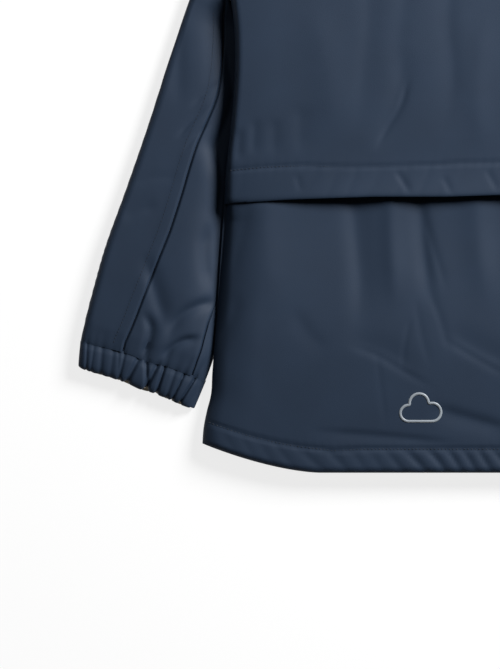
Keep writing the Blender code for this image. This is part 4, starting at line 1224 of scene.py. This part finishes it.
# %% Gathers of the cuff
Gather = namedtuple("Gather", "turn depth width lean")
SEEN_GATHERS = [
    Gather(0.10, 0.7, 0.018, 0.02), Gather(0.17, 0.4, 0.014, 0.0), Gather(0.235, 0.8, 0.02, 0.015),
    Gather(0.315, 0.5, 0.016, 0.01), Gather(0.350, 0.4, 0.010, 0.03),
    Gather(0.385, 1.0, 0.010, 0.0), Gather(0.470, 2.3, 0.014, -0.035), Gather(0.520, 1.8, 0.012, 0.045),
    Gather(0.585, 2.6, 0.014, -0.03), Gather(0.628, 2.2, 0.011, 0.0), Gather(0.700, 0.9, 0.014, 0.0),
    Gather(0.765, 1.8, 0.011, -0.02), Gather(0.862, 2.5, 0.012, -0.05), Gather(0.945, 1.4, 0.014, 0.0),
]
PLAIN_GATHER_COUNT = 26
GATHER_SPREAD = 0.6


def plain_gathers(first, last, count, seed):
    """Gathers that the photograph doesn't show: evenly placed, then varied by sines."""
    found = []
    for number in range(count):
        turn = first + (last - first) * (number + 0.5) / count + 0.006 * math.sin(5.1 * number + seed)
        depth = 1.5 + 0.8 * math.sin(2.3 * number + seed)
        width = 0.014 + 0.004 * math.sin(3.7 * number)
        found.append(Gather(turn, depth, width, 0.03 * math.sin(1.9 * number + seed)))
    return found


GATHERS = {
    LEFT: SEEN_GATHERS + plain_gathers(1.0, 2.0, PLAIN_GATHER_COUNT // 2, 0.7),
    RIGHT: plain_gathers(0.0, 2.0, PLAIN_GATHER_COUNT, 1.9),
}


def gathered(turn, down, side):
    """Depth of the gathers; down is 0 at the cuff seam and 1 at the cuff's end, and below 0 up the sleeve."""
    total = np.zeros(np.shape(turn + down))
    for gather in GATHERS[side]:
        middle = gather.turn + gather.lean * down
        off = np.mod(turn - middle + 1.0, 2.0) - 1.0
        width = gather.width * (1.0 + GATHER_SPREAD * np.clip(-down, 0.0, 2.0))
        total = total + groove(off, gather.depth, width)
    return total


print("gathers:", {word: len(GATHERS[side]) for word, side in SIDES.items()})


# %% Sleeve panels
LAP_PRESS = 1.35
LAP_WIDTH = 0.6
LAP_RISE = 0.5
LAP_REACH = 6.0
GATHER_REACH = 24.0
GATHER_NEAR = 6.0
GATHER_PITCH = 20.0
GATHER_FAR = 0.45
GATHER_MORE = 0.35
CUFF_SEAM_PRESS = 0.75
CUFF_SEAM_WIDTH = 1.8
ARMHOLE_ROUND = 130.0
CLOSE_COLUMNS = (0.3, 0.6, 1.0, 1.6, 2.5, 3.6)


def lapped(turn, width):
    """How a panel lies at its long seams: pressed down under the lap at its start, lapped at its end."""
    from_start = (turn - turn[0]) * width
    from_end = (turn[-1] - turn) * width
    over = LAP_RISE * np.exp(-((from_end / LAP_REACH) ** 4))
    return groove(from_start, LAP_PRESS, LAP_WIDTH) - over + groove(from_end, LAP_PRESS, LAP_WIDTH)


def tube_grids(x, h, under, side, ease, details, tuck=0.0):
    """Both faces of a stretch of tube: over its folds on the top side, below them on the floor side."""
    grids = []
    for depth, detail in zip((tuck, tuck + WALL), details):
        top = placed(*sleeve_layer(x, h, depth, False, ease, detail), side)
        floor_side = placed(*sleeve_layer(x, h, depth, True, ease, detail), side)
        grids.append(np.where(under[:, :, None], floor_side, top))
    return grids


def sleeve_pressed(turn, x, h, side):
    """How far the gathers, the cuff seam and the creases press a sleeve in."""
    along = along_sleeve(x, h)
    near = GATHER_FAR + GATHER_MORE * (1.0 - eased(0.0, GATHER_NEAR, along))
    fade = (1.0 - eased(0.0, GATHER_REACH, along)) * near
    pressed = gathered(turn, -np.clip(along, 0.0, None) / GATHER_PITCH, side) * fade
    pressed = pressed + CUFF_SEAM_PRESS * np.exp(-np.clip(along + SEAM, 0.0, None) / CUFF_SEAM_WIDTH)
    return pressed + creased(SLEEVE_CREASES, side * x, h)


def sleeve_panel(name, side, first, last, armhole, node, step):
    """One panel of a sleeve, between two seams; its first row stands at the armhole's turns."""
    rows = fine_rows(step)
    size = abs(armhole[-1] - armhole[0]) * ARMHOLE_ROUND
    close = np.array(CLOSE_COLUMNS) / size
    even = np.unique(np.concatenate([filled([0.0, 1.0], step / size), close, 1.0 - close]))
    armhole = np.interp(even, np.linspace(0.0, 1.0, len(armhole)), armhole)
    turns, xs, hs, seams = [], [], [], []
    for row in rows:
        run = abs(x_at(OUTER_LINE, row.outer_h) - x_at(INNER_LINE, row.inner_h))
        gap = SEAM / 2 / run
        start = float(turn_at(first(row)))
        end = float(turn_at(last(row)))
        end = end + 2.0 if end < start else end
        turn = armhole + (start + (end - start) * even - armhole) * row.ease
        turn[0] += gap
        turn[-1] -= gap
        x, h = sleeve_plan(turn, row)
        turns.append(turn)
        xs.append(x)
        hs.append(h)
        seams.append(lapped(turn, run) * row.ease ** 2)
    turn, x, h, seams = (np.array(values) for values in (turns, xs, hs, seams))
    ease = np.array([row.ease for row in rows])[:, None] + 0.0 * x
    pressed = sleeve_pressed(turn, x, h, side)
    under = np.mod(turn, 2.0) > 1.0
    outer, inner = tube_grids(x, h, under, side, ease, (pressed + seams, pressed))
    return sheet_from_grids(name, outer, inner, node)


def armhole_turns(over, under, wrap):
    """Turns round the sleeve's first row that stand at given heights of the armhole."""
    span = SHOULDER_POINT.h - UNDERARM.h
    top = [float(turn_at((SHOULDER_POINT.h - h) / span)) for h in over]
    below = [float(turn_at(1.0 + (h - UNDERARM.h) / span)) for h in under]
    return np.array(below + [2.0 + turn for turn in top] if wrap else top + below)


ARMHOLE_MARK = 398.0
HIDDEN_FINE = 2.6
NEAR_TURNS = armhole_turns([ARMHOLE_MARK, 385.0, UNDERARM.h], [380.0, ARMHOLE_MARK], False)
FAR_TURNS = armhole_turns(
    [530.0, 506.0, 482.0, 454.0, 426.0, ARMHOLE_MARK], [ARMHOLE_MARK, 454.0, 506.0], True)
sleeves = {}
for word, side in SIDES.items():
    step = FINE if side == LEFT else HIDDEN_FINE
    sleeves[word, "under"] = sleeve_panel(
        f"sleeve_{word}_under_cloth", side, main_seam, under_seam, NEAR_TURNS, f"sleeve_{word}_under", step)
    sleeves[word, "top"] = sleeve_panel(
        f"sleeve_{word}_top_cloth", side, under_seam, main_seam, FAR_TURNS, f"sleeve_{word}_top", step)


# %% Cuffs
CUFF_OVER = 170
CUFF_UNDER = 90
CUFF_MARKS = [-0.07, -0.01, 0.02, 0.04, 0.06, 0.1, 0.15, 0.2, 0.9, 0.955, 0.985, 1.0]
CUFF_STEP = 0.05
CUFF_HIGH = 19.5
CUFF_BOW = 2.6
CUFF_DROOP_END = 0.6
CUFF_TUCK = 0.5
CUFF_TUCK_END = 0.25
CUFF_FOLD = 0.07
CUFF_PUFF = 0.5
CUFF_PUFF_RUN = 1.02
GATHER_DRAW = 0.95
GATHER_EVEN = 1.1
CORNER_RISE = 2.4
OUTER_CORNER = 0.03
INNER_CORNER = 0.04
END_ROLL = 2.2
END_ROLL_WIDTH = 1.5
LINING_GATHER = 0.6


def cuff_plan(share, down, valleys):
    """Plan points of a cuff: shares across it, and down from its seam to its scalloped end."""
    shown = np.clip(down, 0.0, 1.0)
    outer_x, outer_h = (seam + (end - seam) * down for seam, end in zip(SLEEVE_OUTER[0], CUFF_END[0]))
    inner_x, inner_h = (seam + (end - seam) * down for seam, end in zip(SLEEVE_INNER[-1], CUFF_END[1]))
    corner = np.exp(-share / OUTER_CORNER) + np.exp(-(1.0 - share) / INNER_CORNER)
    bow = (SEAM_BOW + (CUFF_BOW - SEAM_BOW) * down) * arch(share) - SEAM
    bow = bow - droop(share) * (1.0 - CUFF_DROOP_END * shown)
    bow = bow + (GATHER_DRAW * valleys - GATHER_EVEN) * shown ** 2 + CORNER_RISE * corner * down ** 4
    x = outer_x + (inner_x - outer_x) * share - LEAN_X * bow
    h = outer_h + (inner_h - outer_h) * share + LEAN_H * bow
    return x, h


def make_cuff(name, side, node):
    over = np.linspace(0.0, 1.0, CUFF_OVER, endpoint=False)
    turn = np.concatenate([over, 1.0 + np.linspace(0.0, 1.0, CUFF_UNDER, endpoint=False)])
    share = spread(turn)
    down = filled(CUFF_MARKS, CUFF_STEP)[:, None]
    valleys = gathered(turn, down, side)
    x, h = cuff_plan(share, down, valleys)
    puff = CUFF_PUFF * np.sin(math.pi * np.clip(down * CUFF_PUFF_RUN, 0.0, 1.0))
    folded = eased(0.0, CUFF_FOLD, share) * eased(0.0, CUFF_FOLD, 1.0 - share)
    tuck = CUFF_TUCK * (1.0 - eased(-0.01, CUFF_TUCK_END, down)) * folded
    end = END_ROLL * np.exp(-(1.0 - down) * CUFF_HIGH / END_ROLL_WIDTH)
    under = np.broadcast_to(turn > 1.0, x.shape)
    details = (valleys - puff + end, LINING_GATHER * valleys)
    outer, inner = tube_grids(x, h, under, side, np.ones(x.shape), details, tuck)
    return sheet_from_grids(name, outer, inner, node, ring=True)


cuffs = {word: make_cuff(f"cuff_{word}_cloth", side, f"cuff_{word}") for word, side in SIDES.items()}

# %% [markdown]
# ## Hood
#
# The hood is two mirrored halves, joined by a seam over the crown. Laid flat, each half is folded at its
# side: the back of the hood is above, and the brim with the face opening lies on the floor side.

# %% Rows of the hood
HOOD_GAP = 0.02
HOOD_OVER = 34
HOOD_FLOOR = 14
OVER_FOLD = np.array([15.0, 11.0, 8.0, 5.5, 3.5, 2.0, 1.0, 0.4, 0.0])
UNDER_FOLD = np.array([0.4, 1.0, 2.0, 3.5, 5.5, 8.0, 11.0, 14.5])
BRIM_BEND = 0.6
NECK_SHARE = 0.2
CENTRE_CURVE = curve(HOOD_CENTRE)
BRIM_CURVE = curve(HOOD_BRIM)


def over_row(share, bow):
    """From the hood's centre seam out to its fold; the first rows follow the back neck."""
    fold_x, fold_h = point_at(HOOD_LINE, share)
    mid_x, mid_h = point_at(CENTRE_CURVE, share)
    run = math.hypot(fold_x - mid_x, fold_h - mid_h)
    over = np.concatenate([np.linspace(0.0, 1.0 - OVER_FOLD[0] / run, HOOD_OVER), 1.0 - OVER_FOLD[1:] / run])
    neck = back_top(over * NECK_POINT.x) - BACK_NECK - (NECK_POINT.h - BACK_NECK) * over
    return mid_x + (fold_x - mid_x) * over, mid_h + (fold_h - mid_h) * over + bow * neck


def floor_row(share, bow):
    """From the hood's fold back to its brim on the floor side; the first rows follow the front neckline."""
    fold_x, fold_h = point_at(HOOD_LINE, share)
    brim_x, brim_h = point_at(BRIM_CURVE, share ** BRIM_BEND)
    near = UNDER_FOLD / math.hypot(fold_x - brim_x, fold_h - brim_h)
    below = np.concatenate([near, np.linspace(near[-1], 1.0, HOOD_FLOOR)[1:]])
    neck_x = NECK_POINT.x + (BRIM_END.x - NECK_POINT.x) * below
    neck = front_top(neck_x) - NECK_POINT.h - (BRIM_END.h - NECK_POINT.h) * below
    return fold_x + (brim_x - fold_x) * below, fold_h + (brim_h - fold_h) * below + bow * neck


# %% Hood halves
HOOD_MARKS = [0.0, 0.01, 0.1, 0.9, 0.99, 1.0]
HOOD_STEP = 0.014
NECK_FADE = 40.0
HOOD_SEAM = (1.0, 1.6)


def make_hood(name, side, node):
    rows_x = []
    rows_h = []
    for share in filled(HOOD_MARKS, HOOD_STEP):
        bow = max(0.0, 1.0 - share / NECK_SHARE) ** 2
        over_x, over_h = over_row(share, bow)
        floor_x, floor_h = floor_row(share, bow)
        rows_x.append(np.concatenate([over_x, floor_x]))
        rows_h.append(np.concatenate([over_h, floor_h]) + (1.5 * SEAM if share == 0.0 else 0.0))
    x = np.array(rows_x)
    h = np.array(rows_h)
    under = np.arange(x.shape[1])[None, :] >= len(over_x)
    above_neck = h - front_top(np.minimum(x, NECK_POINT.x))
    near_neck = closure_height(side, x) * (1.0 - eased(0.0, NECK_FADE, above_neck))
    plain = creased(HOOD_CREASES, side * x, h)
    grids = []
    for depth, detail in ((0.0, plain + groove(x, *HOOD_SEAM)), (WALL, plain)):
        top_x, top_h, top_z = body_layer(x, h, depth, False, detail)
        low_x, low_h, low_z = body_layer(x, h, depth, True)
        top = placed(np.maximum(top_x, HOOD_GAP), top_h, top_z, side)
        floor_side = placed(np.maximum(low_x, HOOD_GAP), low_h, low_z + near_neck, side)
        grids.append(np.where(under[:, :, None], floor_side, top))
    return sheet_from_grids(name, grids[0], grids[1], node)


hoods = {word: make_hood(f"hood_{word}_cloth", side, f"hood_{word}") for word, side in SIDES.items()}

# %% [markdown]
# ## Stitches
#
# The flap, the hem and the long sleeve seams are top-stitched. Each stitch is a short thread that dives
# into the cloth at both ends. A texture could draw dots, but real threads catch the light and keep their
# even pitch round every curve. One small spindle is worked out along the seam for each stitch, and the
# stitches of a panel are joined into one mesh.

# %% Threads along a line
STITCH_PITCH = 2.9
THREAD_HALF = 0.34
SPINDLE_SIDES = 4


def seam_points(place, length):
    """Four points to a stitch along a line; place gives points in millimetres for shares of the line."""
    count = max(2, round(length / STITCH_PITCH))
    return place(np.linspace(0.0, 1.0, 4 * count + 1)).reshape(-1, 3)


def spindle(points):
    """Corners of one stitch: a tip in the cloth, two rings of thread, and the other tip."""
    run = (points[3] - points[0]) / np.linalg.norm(points[3] - points[0])
    across = np.cross(run, [0.0, 0.0, 1.0])
    across = across / np.linalg.norm(across)
    up = np.cross(across, run)
    corners = [points[0] - up * THREAD_HALF]
    for middle in points[1:3]:
        for side in range(SPINDLE_SIDES):
            turn = 2.0 * math.pi * side / SPINDLE_SIDES
            corners.append(middle + THREAD_HALF * (math.cos(turn) * across + math.sin(turn) * up))
    return corners + [points[3] - up * THREAD_HALF]


def spindle_faces(base):
    """Faces of one stitch whose first corner has the number base."""
    faces = []
    for side in range(SPINDLE_SIDES):
        after = (side + 1) % SPINDLE_SIDES
        first = base + 1
        second = first + SPINDLE_SIDES
        faces.append([base, first + after, first + side])
        faces.append([first + side, first + after, second + after, second + side])
        faces.append([second + side, second + after, second + SPINDLE_SIDES])
    return faces


def make_stitches(name, line):
    corners = []
    faces = []
    for start in range(0, len(line) - 4, 4):
        faces += spindle_faces(len(corners))
        corners += spindle(line[start:start + 4])
    mesh = bpy.data.meshes.new(name)
    mesh.from_pydata((np.array(corners) * MM).tolist(), [], faces)
    mesh.materials.append(THREAD)
    piece = linked(name, mesh)
    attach(piece, "root")
    print(name, len(faces), "faces")
    return piece


# %% Stitches of the back
THREAD_RISE = 0.16
Row = namedtuple("Row", "line reach length")
FLAP_ROW = Row(FLAP_STITCH, 211.0, 424.0)
HEM_ROW = Row(HEM_STITCH, 227.5, 462.0)


def flap_surface(x, h):
    return upper_pressed(x, h) + flap_detail(x, h)


def hem_surface(x, h):
    return creased(LOWER_CREASES, x, h) + hem_detail(x, h)


def back_stitches(name, row, pressed):
    """Stitches along a line of the back, from one side to the other."""
    def place(shares):
        x = row.reach * (2.0 * shares - 1.0)
        h = at(row.line, np.abs(x))
        moved_x, moved_h, z = mirrored_layer(x, h, 0.0, pressed(x, h))
        return np.stack([moved_x, moved_h + HEM_LINE, z + THREAD_RISE], axis=-1)
    return make_stitches(name, seam_points(place, row.length))


flap_stitches = back_stitches("flap_stitches", FLAP_ROW, flap_surface)
hem_stitches = back_stitches("hem_stitches", HEM_ROW, hem_surface)


# %% Stitches of the sleeves
LAP_STITCH = 8.0
LAP_LENGTH = 285.0
LAP_FIRST = SleeveRow(106.0, 76.0, 1.0)
LAP_LAST = SleeveRow(366.0, 350.0, 1.0)


def sleeve_stitches(name, side):
    """The line of stitches that holds the lap of a sleeve's long seam."""
    def place(shares):
        outer_h, inner_h, ease = (low + (high - low) * shares for low, high in zip(LAP_FIRST, LAP_LAST))
        row = SleeveRow(outer_h, inner_h, LAP_LAST.ease)
        run = np.abs(x_at(OUTER_LINE, outer_h) - x_at(INNER_LINE, inner_h))
        turn = turn_at(main_seam(row) - LAP_STITCH / run)
        x, h = sleeve_plan(turn, row)
        moved_x, moved_h, z = sleeve_layer(x, h, 0.0, False, ease, sleeve_pressed(turn, x, h, side))
        return np.stack([side * moved_x, moved_h + HEM_LINE, z + THREAD_RISE], axis=-1)
    return make_stitches(name, seam_points(place, LAP_LENGTH))


lap_stitches = {word: sleeve_stitches(f"sleeve_{word}_stitches", side) for word, side in SIDES.items()}

# %% [markdown]
# ## Reflective motif
#
# A small outline is printed low on the back in grey reflective film. Here it is a plain cloud, made of three
# arcs and a flat base. The film is a thin raised strip that follows the cloth under it. It could be painted
# in the cloth's material, but a strip keeps its clean edge in every export.

# %% Cloud outline
Arc = namedtuple("Arc", "x h radius")
CLOUD_MIDDLE = Point(-63.2, 50.5)
CLOUD_ARCS = [Arc(-9.2, -4.2, 6.3), Arc(-1.0, 3.6, 7.4), Arc(9.0, -3.4, 7.1)]
CLOUD_BASE = -10.5
FILM_WIDTH = 2.1
FILM_RISE = 0.25
FILM_SECTION = [(-0.5, -0.1), (-0.46, 1.0), (0.0, 1.0), (0.46, 1.0), (0.5, -0.1), (0.0, -0.1)]
ARC_POINTS = 24
BASE_POINTS = 20
CLOUD_POINTS = 180
SMOOTHINGS = 6


def meeting(a, b):
    """The upper crossing of two circles."""
    run_x = b.x - a.x
    run_h = b.h - a.h
    gap = math.hypot(run_x, run_h)
    along = (gap ** 2 + a.radius ** 2 - b.radius ** 2) / (2.0 * gap)
    off = math.sqrt(a.radius ** 2 - along ** 2)
    return Point(a.x + (along * run_x - off * run_h) / gap, a.h + (along * run_h + off * run_x) / gap)


def arc_points(arc, start, end):
    """Points clockwise from one point of a circle to another."""
    first = math.atan2(start.h - arc.h, start.x - arc.x)
    last = math.atan2(end.h - arc.h, end.x - arc.x)
    last = last - 2.0 * math.pi if last > first else last
    turns = np.linspace(first, last, ARC_POINTS)
    return np.stack([arc.x + arc.radius * np.cos(turns), arc.h + arc.radius * np.sin(turns)], axis=-1)


def cloud_outline():
    left, middle, right = CLOUD_ARCS
    first = meeting(left, middle)
    second = meeting(middle, right)
    start = Point(left.x, CLOUD_BASE)
    end = Point(right.x, CLOUD_BASE)
    sides = [arc_points(left, start, first), arc_points(middle, first, second)[1:]]
    sides += [arc_points(right, second, end)[1:], np.linspace(end, start, BASE_POINTS)[1:]]
    closed = np.concatenate(sides)
    line = np.stack(point_at(closed, np.linspace(0.0, 1.0, CLOUD_POINTS, endpoint=False)), axis=-1)
    for _ in range(SMOOTHINGS):
        line = (np.roll(line, 1, axis=0) + 2.0 * line + np.roll(line, -1, axis=0)) / 4.0
    return line


def outward_faces(piece):
    """Recalculate the normals of one closed mesh."""
    bpy.ops.object.select_all(action="DESELECT")
    piece.select_set(True)
    bpy.context.view_layer.objects.active = piece
    bpy.ops.object.mode_set(mode="EDIT")
    bpy.ops.mesh.select_all(action="SELECT")
    bpy.ops.mesh.normals_make_consistent(inside=False)
    bpy.ops.object.mode_set(mode="OBJECT")
    piece.select_set(False)


def make_cloud():
    line = cloud_outline() + [CLOUD_MIDDLE.x, CLOUD_MIDDLE.h]
    ahead = np.roll(line, -1, axis=0) - np.roll(line, 1, axis=0)
    ahead = ahead / np.hypot(*ahead.T)[:, None]
    across = np.stack([ahead[:, 1], -ahead[:, 0]], axis=-1)
    rows = []
    for offset, rise in FILM_SECTION:
        x, h = (line + across * offset * FILM_WIDTH).T
        moved_x, moved_h, z = mirrored_layer(x, h, 0.0, hem_surface(x, h))
        rows.append(placed(moved_x, moved_h, z + rise * FILM_RISE))
    grid = np.array(rows)
    count = grid.shape[1]
    faces = grid_faces(len(rows) + 1, count, 0, True, False) % (len(rows) * count)
    mesh = bpy.data.meshes.new("cloud_print")
    mesh.from_pydata(grid.reshape(-1, 3).tolist(), [], faces.tolist())
    mesh.materials.append(PRINT)
    mesh.shade_smooth()
    piece = linked("cloud_print", mesh)
    outward_faces(piece)
    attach(piece, "root")
    print("cloud_print", len(faces), "faces")
    return piece


cloud_print = make_cloud()

# %% [markdown]
# ## Press studs
#
# The front closes with metal press studs, and their caps touch the table. A cap is a low disc with a rounded
# rim and a shallow dish. It starts as a cylinder, and then its lower face is inset and pushed in, and its
# edges are bevelled, as one would do by hand.

# %% Stud caps
STUD_COUNT = 5
STUD_RADIUS = 6.5
STUD_SIDES = 32
DISH_RIM = 1.6
DISH_DEPTH = 0.5
DISH_SLOPE = 0.5
CENTRE_RIM = 2.4
CENTRE_SLOPE = 0.4
CENTRE_RISE = 0.25
RIM_BEVEL = 0.35
RIM_SEGMENTS = 3
STUD_ANGLE = math.radians(35.0)
FACES_DOWN = -0.9


def make_stud(number):
    node = f"press_stud_{number}"
    low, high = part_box(node)
    middle = (Vector(low) + Vector(high)) / 2
    bpy.ops.object.select_all(action="DESELECT")
    bpy.ops.mesh.primitive_cylinder_add(vertices=STUD_SIDES, radius=STUD_RADIUS * MM, depth=high[2] - low[2])
    stud = bpy.context.object
    stud.name = f"stud_cap_{number}"
    bpy.ops.object.mode_set(mode="EDIT")
    bpy.ops.mesh.select_all(action="DESELECT")
    bpy.ops.object.mode_set(mode="OBJECT")
    for polygon in stud.data.polygons:
        polygon.select = polygon.normal.z < FACES_DOWN
    bpy.ops.object.mode_set(mode="EDIT")
    bpy.ops.mesh.select_mode(type="FACE")
    bpy.ops.mesh.inset(thickness=DISH_RIM * MM, depth=0.0)
    bpy.ops.mesh.inset(thickness=DISH_SLOPE * MM, depth=-DISH_DEPTH * MM)
    bpy.ops.mesh.inset(thickness=CENTRE_RIM * MM, depth=0.0)
    bpy.ops.mesh.inset(thickness=CENTRE_SLOPE * MM, depth=CENTRE_RISE * MM)
    bpy.ops.object.mode_set(mode="OBJECT")
    bevel = stud.modifiers.new("rim", "BEVEL")
    bevel.width = RIM_BEVEL * MM
    bevel.segments = RIM_SEGMENTS
    bevel.limit_method = "ANGLE"
    bpy.ops.object.modifier_apply(modifier=bevel.name)
    stud.data.transform(Matrix.Translation(middle))
    stud.data.materials.append(STUD_METAL)
    bpy.ops.object.shade_smooth_by_angle(angle=STUD_ANGLE)
    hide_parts(node)
    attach(stud, "root")
    return stud


studs = [make_stud(number) for number in range(1, STUD_COUNT + 1)]
print("stud caps:", len(studs))

# %% [markdown]
# ## The flat cloth
#
# Each panel is cut from a flat sheet and sewn. Its flat size is the panel laid out round its folds, with the
# seam allowances left off, and the area is what is left of that rectangle after its curves are cut. A cuff is
# drawn in by its elastic, so it lies gathered.

# %% Flat sizes of the sheets
Cut = namedtuple("Cut", "piece width length area held rests_on extras")
CUTS = [
    Cut(front_left, 0.256, 0.536, 0.122, "laid", ["floor"], []),
    Cut(front_right, 0.256, 0.536, 0.122, "laid", ["floor", front_left], []),
    Cut(back_lower, 0.464, 0.252, 0.115, "laid", [front_left, front_right], [hem_stitches, cloud_print]),
    Cut(back_upper, 0.428, 0.351, 0.133, "laid", [back_lower, front_left, front_right], [flap_stitches]),
]
for word in SIDES:
    CUTS.append(Cut(sleeves[word, "under"], 0.060, 0.330, 0.014, "laid", ["floor"], []))
    CUTS.append(Cut(sleeves[word, "top"], 0.165, 0.445, 0.049, "laid", ["floor"], [lap_stitches[word]]))
    CUTS.append(Cut(cuffs[word], 0.260, 0.0205, 0.0053, "gathered", ["floor"], []))
    CUTS.append(Cut(hoods[word], 0.225, 0.325, 0.061, "laid", ["floor"], []))
for cut in CUTS:
    print(cut.piece.name, "flat area", cut.area, "and made", round(OUTER_AREA[cut.piece.name], 4))
